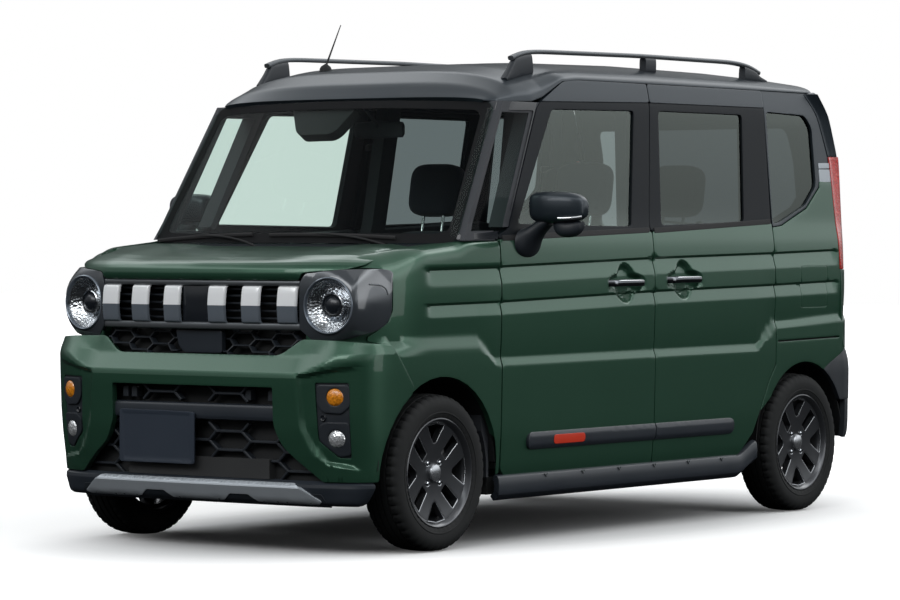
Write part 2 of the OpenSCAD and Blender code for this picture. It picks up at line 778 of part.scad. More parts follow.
module sill_cladding() {
    color("#33373b") both() difference() {
        intersection() {
            side_band(0, wall_t);
            side_prism([
                [door_y - 128, sill_z], [door_y - 128, sill_z + 70], [door_y + 40, door_z - shut_gap], [c_y - 264, door_z - shut_gap],
                [c_y - 170, 318], [c_y - 120, 400], [c_y - 118, 310], [c_y - 240, sill_z]
            ], half_w - sill_x + seat_gap, far);
        }
        front_arches();
        rear_arches();
    }
}

module rear_bumper() {
    color("#3f5a49") difference() {
        intersection() {
            plan_prism(concat(tail(0), flip(tail(bumper_t)), mirrored(tail(bumper_t)), flip(mirrored(tail(0)))), 283, tail_z);
            section_solid(0);
            box([-far, y_rear - 214 + seat_gap, 0], [far, y_rear, far]);
        }
        rear_arches();
        box([-far, 0, load_z - seat_gap], [far, y_rear - 110 + seat_gap, load_z + floor_t + seat_gap]);
    }
    // beam behind the skin
    color("#3f5a49") box([-gate_x, y_rear - 110 + seat_gap, load_z - 10], [gate_x, y_rear - bumper_t + 5, load_z + 40]);
}

module roof_rails() {
    rail_x = half_w - 170;
    y0 = screen_top_y + 190;
    y1 = screen_top_y + 1900;
    z0 = roof_z - 12;
    color("#82878a") both() {
        intersection() {
            side_prism([
                [y0, z0 - 60], [y0 + 90, z0 + 8], [y0 + 400, z0 + 22], [y1 - 300, z0 + 34], [y1 - 60, z0 + 30], [y1 + 60, z0 - 30],
                [y1 - 60, z0 - 30], [y1 - 100, z0 + 10], [y0 + 400, z0 + 4], [y0 + 130, z0 - 8], [y0 + 90, z0 - 60]
            ], rail_x - 17, rail_x + 17);
            difference() {
                box([0, -big, 1000], [far, big, 2000]);
                roof_shape(-seat_gap);
            }
        }
    }
}

module antenna() {
    base = [-300, screen_top_y + 262, roof_z - 58];
    color("#17181a") difference() {
        translate(base) union() {
            cylinder(r = 16, h = 44);
            translate([0, 0, 34]) rotate([-30, 0, 0]) cylinder(r = 3.5, h = 182);
        }
        roof_shape(-seat_gap);
    }
}

module dashboard() {
    y0 = door_y - 10 + seat_gap;
    color("#1b1d20") difference() {
        side_prism([
            [y0, 700], [y0 + 210, 700], [y0 + 250, 860], [y0 + 190, 1010], [y0 - 60, 1045], [y0 - 150, 1042], [y0 - 150, 905], [y0, 830]
        ], 145 - half_w, half_w - 145);
        translate(wheel_pos) rotate([-wheel_tilt, 0, 0]) cylinder(r = 26, h = 900, center = true);
    }
    // steering column's tube
    color("#1b1d20") translate(wheel_pos) rotate([-wheel_tilt, 0, 0]) translate([0, 0, -300]) difference() {
        cylinder(r = 27, h = 235);
        translate([0, 0, 60]) cylinder(r = 14 + pin_clear, h = 300);
    }
}
module steering_wheel() {
    color("#16181a") translate(wheel_pos) rotate([-wheel_tilt, 0, 0]) union() {
        rotate_extrude() translate([wheel_r - 14, 0]) circle(r = 14);
        translate([0, 0, -60]) cylinder(r = 50, h = 55);
        for (a = [0, 180, 270]) rotate([0, 0, a]) translate([0, -16, -24]) cube([wheel_r - 14, 32, 14]);
        translate([0, 0, -230]) cylinder(r = 14, h = 200);
    }
}

// Seat from its side profile, at a place across the car
module seat(x, y, width) {
    translate([0, y, floor_z + floor_t]) union() {
        side_prism([[0, seat_gap], [430, seat_gap], [470, 120], [490, 220], [40, 250], [-30, 200], [-20, 120]], x - width / 2, x + width / 2);
        side_prism([[370, 200], [490, 215], [660, 760], [620, 800], [570, 780]], x - width / 2 + 15, x + width / 2 - 15);
        side_prism([[608, 770], [648, 770], [690, 940], [600, 940], [590, 820]], x - 130, x + 130);
    }
}
module front_seats() {
    color("#2a2e36") for (x = [-350, 350]) seat(x, door_y + 420, 490);
}
module rear_bench() {
    color("#2a2e36") for (x = [-265, 265]) seat(x, c_y - 668, 500);
}

module engine() {
    color("#55595c") box([-330, y_front + 190, 330], [330, front_axle_y + 190, 820]);
}
module front_subframe() {
    color("#2a2c2e") union() {
        box([-320, front_axle_y - 120, 190], [320, front_axle_y + 120, 250]);
        box([-380, front_axle_y + 60, 200], [380, door_y - 10, floor_z - seat_gap]);
        both() box([260, y_front + bumper_t + 10, 250], [320, front_axle_y + 60, 330 - seat_gap]);
        box([-320, y_front + bumper_t + seat_gap, 262], [320, y_front + 110, 330]);
        // lower arms to the steering pivots
        both() {
            side_prism([[front_axle_y - 45, 196], [front_axle_y + 45, 196], [front_axle_y + 45, 216], [front_axle_y - 45, 216]], 300, king_x - 20);
            translate([king_x, front_axle_y, 160]) cylinder(r = king_r, h = 140);
            translate([king_x, front_axle_y, 196]) cylinder(r = 30, h = 20);
            translate([king_x - 25, front_axle_y - 45, 196]) cube([20, 90, 20]);
        }
    }
}
module rear_axle() {
    beam_x = wheel_x - 95;
    color("#2c2e30") union() {
        box([-beam_x, rear_axle_y - 150, 210], [beam_x, rear_axle_y - 70, 290]);
        both() {
            box([beam_x - 60, rear_axle_y - 150, 240], [beam_x, rear_axle_y + 45, 312]);
            box([beam_x - 60, c_y - 140 + seat_gap, 262], [beam_x, rear_axle_y - 100, 300]);
            cross_rod(45, beam_x - 10, beam_x + 12, rear_axle_y, tyre_r);
            cross_rod(spindle_r, beam_x, wheel_x + 20, rear_axle_y, tyre_r);
        }
    }
}
module fuel_tank() {
    color("#222426") box([-250, b_y - 200, 165], [330, b_y + 330, floor_z - seat_gap]);
}
module exhaust() {
    pipe_x = -420;
    pipe_z = 186;
    pipe_r = 20;
    bend_y = rear_axle_y + 60;
    silencer_y = y_rear - 210;
    color("#6d7072") union() {
        cross_rod(70, pipe_x - 30, 200, silencer_y, 350);
        translate([pipe_x, door_y + 40, pipe_z]) rotate([-90, 0, 0]) cylinder(r = pipe_r, h = bend_y - door_y - 36);
        translate([pipe_x, bend_y, pipe_z]) rotate([-52, 0, 0]) cylinder(r = pipe_r, h = 190);
        for (y = [door_y + 120, b_y]) box([pipe_x - 10, y, pipe_z], [pipe_x + 10, y + 20, floor_z - seat_gap]);
        box([-40, silencer_y - 15, 410], [40, silencer_y + 15, load_z - seat_gap]);
    }
}

module tailgate() {
    color("#3f5a49") difference() {
        union() {
            difference() {
                intersection() {
                    rear_shell();
                    box([-gate_x, y_rear - 262, gate_z], [gate_x, y_rear, roof_z]);
                }
                gate_opening();
                for (x = GATE_HINGE_X) box([x - 47, gate_hinge_y - 30, gate_hinge_z - 30], [x + 47, gate_hinge_y + 16, roof_z]);
            }
            for (x = GATE_HINGE_X) {
                cross_rod(eye_r, x - hinge_h / 2, x + hinge_h / 2, gate_hinge_y, gate_hinge_z);
                side_prism([
                    [gate_hinge_y, gate_hinge_z - 11], [gate_hinge_y, gate_hinge_z + 11], [gate_hinge_y + 40, gate_hinge_z - 32],
                    [gate_hinge_y + 30, gate_hinge_z - 60]
                ], x - hinge_h / 2, x + hinge_h / 2);
            }
        }
        for (x = GATE_HINGE_X) cross_rod(pin_r + pin_clear, x - hinge_h, x + hinge_h, gate_hinge_y, gate_hinge_z);
    }
}
module gate_opening() {
    front_prism([[-500, 1130], [500, 1130], [470, 1560], [-470, 1560]], 0, y_rear + 10);
}
module tailgate_window() {
    color("#3d474d", 0.6) intersection() {
        difference() {
            rear_solid(glass_inset);
            rear_solid(glass_inset + glass_t);
        }
        gate_opening();
        box([-far, y_rear - 400, 0], [far, y_rear, 2000]);
    }
}

// Knuckle on the left, with its hub spindle
module knuckle() {
    difference() {
        union() {
            translate([king_x, front_axle_y, 219]) cylinder(r = 30, h = 150);
            translate([king_x, front_axle_y, 216 + seat_gap]) cylinder(r = 24, h = 20);
            cross_rod(45, king_x, wheel_x - 50, front_axle_y, tyre_r);
            cross_rod(spindle_r, king_x, wheel_x + 20, front_axle_y, tyre_r);
            box([king_x - 60, front_axle_y + 10, 240], [king_x, front_axle_y + 110, 262]);
        }
        translate([king_x, front_axle_y, 100]) cylinder(r = king_r + pin_clear, h = 206);
    }
}
module knuckle_left() {
    color("#4a4d50") knuckle();
}
module knuckle_right() {
    color("#4a4d50") mirror([1, 0, 0]) knuckle();
}

// Wheel about its own axis, with its outer face at +X
module rim() {
    spoke_depth = 26;
    rotate([0, 90, 0]) difference() {
        union() {
            // barrel and flanges, as radius against depth
            rotate_extrude() polygon([
                [rim_r, -70], [rim_r, -64], [rim_r - 12, -62], [rim_r - 20, -30], [rim_r - 20, 44], [rim_r - 12, 62], [rim_r, 64], [rim_r, 70],
                [rim_r - 10, 70], [rim_r - 26, 56], [rim_r - 28, -58], [rim_r - 16, -70]
            ]);
            translate([0, 0, 14]) cylinder(r = 74, h = spoke_depth + 4);
            translate([0, 0, -19]) cylinder(r = 36, h = 40);
            translate([0, 0, 44]) cylinder(r = 32, h = 8);
            for (k = [0:3], s = [-1, 1]) rotate([0, 0, 45 + 90 * k + s * 16])
                translate([50, s * 8 - 15, 18]) cube([rim_r - 74, 30, spoke_depth]);
        }
        translate([0, 0, -100]) cylinder(r = spindle_r + pin_clear, h = 125);
        for (k = [1:nut_count]) rotate([0, 0, 45 + 360 / nut_count * k])
            translate([nut_pcd / 2, 0, 0]) cylinder(r = nut_hole_r, h = 100);
    }
}
module tyre() {
    rotate([0, 90, 0]) rotate_extrude($fn = 96) polygon(concat(
        [[rim_r - 11.7, -61], [rim_r + 1, -63.5 + 0.2], [rim_r + 1, -70], [rim_r + 26, -tyre_w / 2 + 1], [rim_r + 50, -tyre_w / 2 + 2]],
        [[tyre_r - 10, -tyre_w / 2 + 12], [tyre_r, -tyre_w / 2 + 24], [tyre_r, tyre_w / 2 - 24], [tyre_r - 10, tyre_w / 2 - 12]],
        [[rim_r + 50, tyre_w / 2 - 2], [rim_r + 26, tyre_w / 2 - 1], [rim_r + 1, 70], [rim_r + 1, 63.3], [rim_r - 11.7, 61]]
    ));
}
module at_wheel(left, y) {
    mirror([left ? 0 : 1, 0, 0]) translate([wheel_x, y, tyre_r]) children();
}
module rim_front_left() { color("#50555a") at_wheel(true, front_axle_y) rim(); }
module rim_front_right() { color("#50555a") at_wheel(false, front_axle_y) rim(); }
module rim_rear_left() { color("#50555a") at_wheel(true, rear_axle_y) rim(); }
module rim_rear_right() { color("#50555a") at_wheel(false, rear_axle_y) rim(); }
module tyre_front_left() { color("#1a1a1a") at_wheel(true, front_axle_y) tyre(); }
module tyre_front_right() { color("#1a1a1a") at_wheel(false, front_axle_y) tyre(); }
module tyre_rear_left() { color("#1a1a1a") at_wheel(true, rear_axle_y) tyre(); }
module tyre_rear_right() { color("#1a1a1a") at_wheel(false, rear_axle_y) tyre(); }

floor_pan();
cowl();
a_pillars();
b_pillars();
roof();
windscreen();
side_windows();
front_fenders();
quarter_panels();
rear_doors();
sill_cladding();
front_bumper();
front_lip();
skid_plate();
grille_frame();
grille_blocks();
lower_grille();
headlamps();
lamp_pods();
front_plate();
rear_bumper();
tail_lamps();
roof_rails();
antenna();
dashboard();
front_seats();
rear_bench();
engine();
front_subframe();
rear_axle();
fuel_tank();
exhaust();
bonnet();
front_door_left();
front_door_right();
door_window_left();
door_window_right();
mirror_left();
mirror_right();
tailgate();
tailgate_window();
steering_wheel();
knuckle_left();
knuckle_right();
rim_front_left();
rim_front_right();
rim_rear_left();
rim_rear_right();
tyre_front_left();
tyre_front_right();
tyre_rear_left();
tyre_rear_right();
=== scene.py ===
# %% [markdown]
# # A tall kei wagon, dressed in Blender
# The car arrives as plain solids with joints. This lesson builds the smooth painted panels, lamps, glass,
# wheels and cabin around them, in the same frame: X across (the car's left is +X), Y to the rear, Z up.
# Lengths below are millimetres, as on a workshop drawing, and become metres only when a mesh is made.

# %% Load the frame
import bpy
import bmesh
import math
import numpy as np
from mathutils import Vector, Matrix
from mathutils.geometry import delaunay_2d_cdt


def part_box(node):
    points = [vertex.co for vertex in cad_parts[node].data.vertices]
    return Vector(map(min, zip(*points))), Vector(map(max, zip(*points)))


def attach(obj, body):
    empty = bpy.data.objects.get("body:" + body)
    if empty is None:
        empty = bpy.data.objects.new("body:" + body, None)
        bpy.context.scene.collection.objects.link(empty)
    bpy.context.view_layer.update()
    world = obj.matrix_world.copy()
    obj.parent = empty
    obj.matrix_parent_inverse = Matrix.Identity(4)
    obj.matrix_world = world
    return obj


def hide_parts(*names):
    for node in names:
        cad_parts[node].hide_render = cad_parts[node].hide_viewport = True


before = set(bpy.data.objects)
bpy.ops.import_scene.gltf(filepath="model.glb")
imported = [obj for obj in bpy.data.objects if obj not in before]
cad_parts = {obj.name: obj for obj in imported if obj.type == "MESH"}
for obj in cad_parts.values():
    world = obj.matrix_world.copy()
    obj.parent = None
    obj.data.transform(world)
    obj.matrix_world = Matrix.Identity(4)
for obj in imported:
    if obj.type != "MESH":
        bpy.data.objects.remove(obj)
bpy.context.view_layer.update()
MM = 0.001
HALF_W = 1000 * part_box("front_door_left")[1].x - 4
Y_FRONT = 1000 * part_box("front_bumper")[0].y
Y_REAR = 1000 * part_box("rear_bumper")[1].y
TYRE_LOW, TYRE_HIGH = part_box("tyre_front_left")
AXLE_Z = 500 * (TYRE_LOW.z + TYRE_HIGH.z)
TYRE_R = 500 * (TYRE_HIGH.z - TYRE_LOW.z)
WHEEL_X = 500 * (TYRE_LOW.x + TYRE_HIGH.x)
FRONT_AXLE_Y = 500 * (TYRE_LOW.y + TYRE_HIGH.y)
REAR_AXLE_Y = 500 * sum(c.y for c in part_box("tyre_rear_left"))
DOOR_Y = FRONT_AXLE_Y + 355
B_Y = DOOR_Y + 998
C_Y = B_Y + 884
print("half width", HALF_W, "front", Y_FRONT, "rear", Y_REAR, "axles", FRONT_AXLE_Y, REAR_AXLE_Y)

# %% [markdown]
# ## The camera
# The photograph was taken from far off with a long lens, so parallel edges stay almost parallel. A camera
# could be turned by eye, but here its place and turn were solved from pairs of points that mirror each
# other across the car.

# %% Camera
SENSOR = 36.0
CAMERA_LENS = 152.32
CAMERA_PLACE = (8.56895, -11.91880, 1.11003)
CAMERA_YAW, CAMERA_PITCH, CAMERA_ROLL = 36.0653, -0.9899, 0.0436
camera = bpy.data.objects.new("camera", bpy.data.cameras.new("camera"))
bpy.context.scene.collection.objects.link(camera)
camera.data.sensor_width = SENSOR
camera.data.lens = CAMERA_LENS
turn = (Matrix.Rotation(math.radians(CAMERA_YAW), 4, "Z")
        @ Matrix.Rotation(math.radians(90 + CAMERA_PITCH), 4, "X")
        @ Matrix.Rotation(math.radians(CAMERA_ROLL), 4, "Z"))
camera.matrix_world = Matrix.Translation(CAMERA_PLACE) @ turn
bpy.context.scene.camera = camera
print("camera", CAMERA_PLACE, "lens", CAMERA_LENS)

# %% [markdown]
# ## Floor and light
# Car paint shows its form by what it mirrors. A single bright sky would make the bonnet and roof glare, so
# the sky is painted in bands: a bright wall on the car's left for the doors and panes, a dark side that the
# bonnet mirrors, and a high bright band for the bumper's shelf. Four soft lamps add the shadows, and the
# floor adds a painted shadow under the car. The background stays white through Is Camera Ray, not through
# stronger lamps, so the paint keeps the colour that is written for it.

# %% Studio
scene = bpy.context.scene
scene.view_settings.view_transform = "Standard"


class Wire:
    """A socket of a node tree. Operators on it add Math nodes; node() adds any other node."""

    def __init__(self, tree, socket=None):
        self.tree = tree
        self.socket = socket

    def node(self, kind, settings=None, out=0, sockets=None):
        made = self.tree.nodes.new(kind)
        for name, value in (settings or {}).items():
            if name == "stops":
                ramp = made.color_ramp
                while len(ramp.elements) < len(value):
                    ramp.elements.new(0.5)
                for element, (place, colour) in zip(ramp.elements, value):
                    element.position = place
                    element.color = colour
            else:
                setattr(made, name, value)
        for name, value in (sockets or {}).items():
            place = made.inputs[name]
            if isinstance(value, Wire):
                self.tree.links.new(value.socket, place)
            else:
                place.default_value = value
        return Wire(self.tree, made.outputs[out] if len(made.outputs) else None)

    def math(self, operation, a, b=0.0):
        return self.node("ShaderNodeMath", {"operation": operation}, sockets={0: a, 1: b})

    def __add__(self, other):
        return self.math("ADD", self, other)

    def __mul__(self, other):
        return self.math("MULTIPLY", self, other)

    def __pow__(self, other):
        return self.math("POWER", self, other)

    def blend(self, low, high):
        """Colour between two, by this value."""
        return self.node("ShaderNodeMix", {"data_type": "RGBA"}, out=2, sockets={0: self, 6: low, 7: high})

    def ease(self, low, high, start=0.0, end=1.0):
        """Smooth change from start to end while this value goes from low to high."""
        return self.node("ShaderNodeMapRange", {"interpolation_type": "SMOOTHSTEP"},
                         sockets={0: self, 1: low, 2: high, 3: start, 4: end})

    def vector(self, operation, other=(0, 0, 0), out=0):
        return self.node("ShaderNodeVectorMath", {"operation": operation}, out, {0: self, 1: other})

    def place(self):
        """Where a point is on its own object."""
        return self.node("ShaderNodeTexCoord", out=3)

    def noise(self, scale, detail):
        return self.node("ShaderNodeTexNoise", sockets={0: self, "Scale": scale, "Detail": detail})

    def bump(self, strength, distance):
        """Normal bent by this height, over a distance in millimetres."""
        return self.node("ShaderNodeBump",
                         sockets={"Strength": strength, "Distance": distance * MM, "Height": self})

    def seen(self):
        """1 for rays from the camera, straight or through glass."""
        path = self.tree.nodes.new("ShaderNodeLightPath")
        return (Wire(self.tree, path.outputs["Is Camera Ray"])
                + Wire(self.tree, path.outputs["Is Transmission Ray"]))


def rgba(red, green, blue):
    return (red, green, blue, 1.0)


world = bpy.data.worlds.new("studio")
scene.world = world
world.use_nodes = True
sky = Wire(world.node_tree)
world.node_tree.nodes.clear()
seen = sky.seen()
direction = sky.node("ShaderNodeTexCoord", out=0)
height = sky.node("ShaderNodeSeparateXYZ", out=2, sockets={0: direction})
DARK_SIDE, BRIGHT_SIDE = (-.58, .81, 0), (.58, .81, 0)


def tones(stops):
    """Grey of the sky by height, from 0 straight down to 1 straight up."""
    colours = [(at, rgba(v * .97, v, v * 1.02)) for at, v in stops]
    return sky.node("ShaderNodeValToRGB", {"stops": colours}, sockets={0: height * 0.5 + 0.5})


wall = tones([(0.0, .02), (0.50, .04), (0.52, .26), (0.57, 1.25), (0.66, 1.15), (0.76, .60)])
shade = tones([(0.0, .02), (0.49, .03), (0.56, .04), (0.69, .12), (0.77, 1.0), (0.81, 2.2),
               (0.84, 2.0), (0.88, .45), (0.94, .30)])
room = tones([(0.0, .02), (0.50, .03), (0.52, .10), (0.58, .30), (0.70, .40), (0.82, .70),
              (0.88, .35), (0.94, .30)])
lit_room = direction.vector("DOT_PRODUCT", DARK_SIDE, 1).ease(0.40, 0.85, 1.0, 0.0)
lit_left = direction.vector("DOT_PRODUCT", BRIGHT_SIDE, 1).ease(0.30, 0.70)
walls = lit_left.blend(lit_room.blend(shade, room), wall)
sky_ramp = sky.node("ShaderNodeMix", {"data_type": "RGBA", "blend_type": "LIGHTEN"}, out=2,
                    sockets={0: 1.0, 6: walls, 7: shade})
shown = seen.blend(sky_ramp, rgba(1, 1, 1))
glow = sky.node("ShaderNodeBackground", sockets={0: shown, 1: 1.0})
sky.node("ShaderNodeOutputWorld", sockets={0: glow})


def lamp(name, place, target, size, power):
    data = bpy.data.lights.new(name, "AREA")
    data.shape = "RECTANGLE"
    data.size, data.size_y = size
    data.energy = power
    made = bpy.data.objects.new(name, data)
    scene.collection.objects.link(made)
    made.location = place
    made.rotation_euler = (Vector(target) - Vector(place)).to_track_quat("-Z", "Y").to_euler()
    return made


lamp("ceiling", (0.3, 0.2, 6.4), (0, 0.2, 0), (5.0, 7.0), 40)
lamp("side_box", (5.6, 0.3, 3.4), (0.6, 0.2, 0.9), (2.0, 7.0), 60)
lamp("front_box", (0.6, -7.2, 4.2), (0, -1.4, 0.8), (6.0, 2.0), 120)
lamp("rear_fill", (2.4, 8.5, 6.6), (0, 0, 1.0), (5, 4), 90)

# %% [markdown]
# ## Finishes
# Each finish is one function that returns a material. A flat colour looks like plastic foam, so each has the
# variation that the real surface shows: flakes and orange peel in paint, a moulded grain in plastic, a
# weave in cloth, casting texture in alloy. Noise on object coordinates gives that without any UV map.

# %% A maker for materials
def blank(name):
    """A material with an empty node tree, and a wire to start it."""
    material = bpy.data.materials.new(name)
    material.use_nodes = True
    material.node_tree.nodes.clear()
    return material, Wire(material.node_tree)


def shown_by(material, shader):
    """The material, with a shader on its surface."""
    shader.node("ShaderNodeOutputMaterial", sockets={0: shader})
    return material


def finish(name, colour, roughness=0.4, metallic=0.0, coat=0.0, grain=None, tint=None, speck=0.0):
    """A Principled finish. grain is (scale, strength, distance mm) of its bump, tint a second colour that it
    drifts to and speck how much its roughness varies."""
    material, start = blank(name)
    place = start.place()
    drift = place.noise(9.0, 4.0)
    sockets = {
        "Base Color": drift.blend(rgba(*colour), rgba(*(tint or colour))) if tint else rgba(*colour),
        "Roughness": drift * speck + (roughness - 0.5 * speck) if speck else roughness,
        "Metallic": metallic, "Coat Weight": coat, "Coat Roughness": 0.03,
    }
    if grain:
        scale, strength, distance = grain
        grit = place.noise(scale, 3.0)
        sockets["Normal"] = grit.bump(strength, distance)
    shader = start.node("ShaderNodeBsdfPrincipled", sockets=sockets)
    return shown_by(material, shader)


def paint(name, colour, flake, metallic, coat):
    """Metallic paint under clear coat: tiny flakes differ in tone, and the coat has a faint orange peel."""
    material, start = blank(name)
    place = start.place()
    cells = start.node("ShaderNodeTexVoronoi", {"feature": "F1"}, out=1, sockets={0: place, "Scale": 900.0})
    tone = start.node("ShaderNodeSeparateColor", sockets={0: cells})
    cloud = place.noise(2.2, 2.0)
    base = (tone * 0.5 + cloud * 0.5).blend(rgba(*colour), rgba(*flake))
    peel = place.noise(160.0, 1.0)
    bump = peel.bump(0.02, 0.4)
    shader = start.node("ShaderNodeBsdfPrincipled", sockets={
        "Base Color": base, "Metallic": metallic, "Roughness": tone * 0.06 + 0.30,
        "Coat Weight": coat, "Coat Roughness": 0.025, "Normal": bump})
    return shown_by(material, shader)


def pane_glass(name, tint, mirror=0.06, metal=0.0):
    """Window glass: light passes straight through, tinted, and the surface mirrors more at a slant."""
    material, start = blank(name)
    slant = start.node("ShaderNodeLayerWeight", out=1, sockets={"Blend": 0.5}) ** 4.0
    clear = start.node("ShaderNodeBsdfTransparent", sockets={0: rgba(*tint)})
    gloss = start.node("ShaderNodeBsdfPrincipled", sockets={
        "Base Color": rgba(.02 + .8 * metal, .025 + .9 * metal, .03 + .82 * metal), "Roughness": 0.02,
        "Metallic": metal, "Coat Weight": 1.0})
    mixed = start.node("ShaderNodeMixShader", sockets={0: slant * 0.85 + mirror, 1: clear, 2: gloss})
    return shown_by(material, mixed)


def cut_lens(name, colour, cell, depth, roughness=0.06, metallic=0.0):
    """A lamp's moulded optic: rows of small cut cells, each bumped so it catches the light, and each painted
    a little darker or lighter at random as a painted stand-in for the light its facet catches.
    """
    material, start = blank(name)
    place = start.place()
    facets = start.node("ShaderNodeTexVoronoi", {"feature": "F1"}, sockets={0: place, "Scale": 1000.0 / cell})
    tone = start.node("ShaderNodeTexVoronoi", {"feature": "F1"}, out=1,
                      sockets={0: place, "Scale": 1000.0 / cell})
    shade = start.node("ShaderNodeSeparateColor", sockets={0: tone})
    bump = facets.bump(0.9, depth)
    # painted light: each cell's colour drops at random to 55 percent, for the light its facet catches or
    # misses
    dim = tuple(0.55 * c for c in colour)
    shader = start.node("ShaderNodeBsdfPrincipled", sockets={
        "Base Color": shade.blend(rgba(*dim), rgba(*colour)), "Roughness": roughness, "Metallic": metallic,
        "Coat Weight": 1.0, "Normal": bump})
    return shown_by(material, shader)


def cloth(name, colour, thread):
    """Woven seat cloth: two crossing waves make the weave, and a slow drift keeps it from looking printed."""
    material, start = blank(name)
    place = start.place()
    warp = start.node("ShaderNodeTexWave", {"bands_direction": "Z"}, out=1,
                      sockets={0: place, "Scale": thread})
    weft = start.node("ShaderNodeTexWave", {"bands_direction": "X"}, out=1,
                      sockets={0: place, "Scale": thread})
    cloud = place.noise(14.0, 3.0)
    weave = warp * 0.5 + weft * 0.5
    pale = tuple(min(1, 1.7 * c) for c in colour)
    bump = weave.bump(0.35, 0.8)
    shader = start.node("ShaderNodeBsdfPrincipled", sockets={
        "Base Color": (weave * 0.6 + cloud * 0.4).blend(rgba(*colour), rgba(*pale)), "Roughness": 0.92,
        "Sheen Weight": 0.25, "Normal": bump})
    return shown_by(material, shader)


# %% The finishes of this car
GREEN = paint("forest_green_paint", (.020, .074, .043), (.034, .106, .064), 0.5, 0.6)
GUNMETAL = paint("gunmetal_paint", (.020, .028, .036), (.030, .041, .052), 0.4, 0.2)
GLOSS_BLACK = finish("gloss_black", (.010, .012, .016), 0.26, coat=.3, tint=(.014, .017, .022), speck=.05)
PLASTIC = finish("grained_plastic", (.014, .018, .024), 0.48, tint=(.020, .025, .032), grain=(700, .25, .5),
                 speck=.12)
SILL_GREY = finish("sill_grey", (.018, .023, .031), 0.40, tint=(.025, .031, .040), grain=(500, .18, .4),
                   speck=.1)
BLACK_MATT = finish("black_matt", (.006, .007, .008), 0.75, tint=(.010, .011, .012), grain=(300, .3, .6),
                    speck=.1)
TRIM_GREY = finish("trim_grey", (.115, .125, .135), 0.34, metallic=.6, tint=(.135, .145, .155), speck=.08)
SATIN_SILVER = finish("satin_silver", (.44, .48, .52), 0.36, metallic=.3, tint=(.50, .54, .58),
                      grain=(900, .08, .2), speck=.08)
# near white and barely metal: the chrome blocks' bright reflection is painted into this colour
PAINTED_HIGHLIGHT_CHROME = finish("bright_trim", (.93, .95, .97), 0.16, metallic=.12, coat=.5, tint=(.96, .97, .98),
                     speck=.04)
CHROME = finish("chrome", (.86, .88, .90), 0.06, metallic=1.0, tint=(.80, .82, .85), speck=.03)
# the grille blocks' lower faces take this darker blue-grey as painted shade of their chrome; the headlamp
# ring uses it too
STEEL_BLUE = finish("blue_grey_chrome", (.20, .235, .28), 0.20, metallic=.45, coat=.3,
                    tint=(.24, .275, .32), speck=.05)
ALLOY = finish("gunmetal_alloy", (.060, .063, .070), 0.30, metallic=.7, coat=.6, tint=(.080, .084, .092),
               grain=(420, .06, .3), speck=.08)
CUT_ALLOY = finish("cut_alloy", (.55, .57, .60), 0.22, metallic=.9, tint=(.62, .64, .67), speck=.1)
RUBBER = finish("tyre_rubber", (.0022, .003, .0036), 0.78, tint=(.0045, .0055, .006), grain=(260, .25, .5),
                speck=.18)
GASKET = finish("door_rubber", (.009, .009, .010), 0.7, tint=(.015, .015, .016), grain=(400, .2, .3),
                speck=.1)
UNDERCOAT = finish("undercoat", (.022, .023, .024), 0.85, tint=(.034, .035, .036), grain=(120, .5, 1.2),
                   speck=.1)
CAST_IRON = finish("cast_metal", (.13, .135, .14), 0.5, metallic=.8, tint=(.18, .18, .18),
                   grain=(220, .4, .8), speck=.15)
DISC_STEEL = finish("brake_steel", (.38, .38, .39), 0.34, metallic=1.0, tint=(.30, .29, .28),
                    grain=(500, .2, .2), speck=.12)
PIPE_STEEL = finish("pipe_steel", (.26, .26, .26), 0.42, metallic=.9, tint=(.34, .32, .30),
                    grain=(90, .3, .5), speck=.15)
DASH = finish("dash_plastic", (.020, .022, .026), 0.6, tint=(.030, .032, .037), grain=(520, .4, .5), speck=.1)
TRIM_DARK = finish("door_trim", (.030, .033, .040), 0.62, tint=(.040, .044, .052), grain=(450, .35, .5),
                   speck=.1)
SEAT_CLOTH = cloth("seat_cloth", (.020, .024, .036), 260.0)
PLATE_BLUE = finish("plate_slate", (.030, .040, .058), 0.42, tint=(.036, .047, .066), grain=(350, .08, .2),
                    speck=.08)
ACCENT = finish("accent_red", (.62, .035, .012), 0.38, coat=.4, tint=(.70, .05, .018), speck=.06)
HEADLINER = finish("headliner", (.30, .30, .29), 0.95, tint=(.35, .35, .34), grain=(600, .3, .4), speck=.05)
GLASS = pane_glass("green_glass", (.80, .90, .86))
QUARTER_GLASS = pane_glass("quarter_glass", (.74, .84, .80))
SIDE_GLASS = pane_glass("side_glass", (.78, .88, .84), 0.07, 1.0)
PRIVACY = pane_glass("privacy_glass", (.16, .18, .19), 0.050, 1.0)
LENS = pane_glass("clear_lens", (.96, .97, .98), 0.03)
FRAME_BLACK = finish("frame_black", (.008, .010, .013), 0.42, tint=(.011, .014, .018), speck=.05)
BORDER = finish("ceramic_border", (.006, .007, .008), 0.7, tint=(.010, .010, .011), speck=.05)
for dulled, mirror in ((FRAME_BLACK, 0.16), (BORDER, 0.12)):
    dulled.node_tree.nodes["Principled BSDF"].inputs["Specular IOR Level"].default_value = mirror
REFLECTOR = cut_lens("faceted_reflector", (.86, .88, .90), 9.0, 2.2, 0.09, 1.0)
AMBER = cut_lens("amber_lens", (.95, .32, .015), 7.0, 1.4)
FOG = cut_lens("fog_lens", (.82, .84, .86), 7.0, 1.6, 0.05, .6)
RED = cut_lens("red_lens", (.72, .030, .020), 8.0, 1.0)
LAMP_SHELL = finish("smoked_lamp_shell", (.050, .058, .068), 0.16, metallic=.35, coat=1.0,
                    tint=(.066, .075, .086), speck=.05)
MIRROR = finish("mirror_silver", (.80, .83, .86), 0.02, metallic=1.0, tint=(.78, .81, .84), speck=.01)
print("finishes:", len(bpy.data.materials))


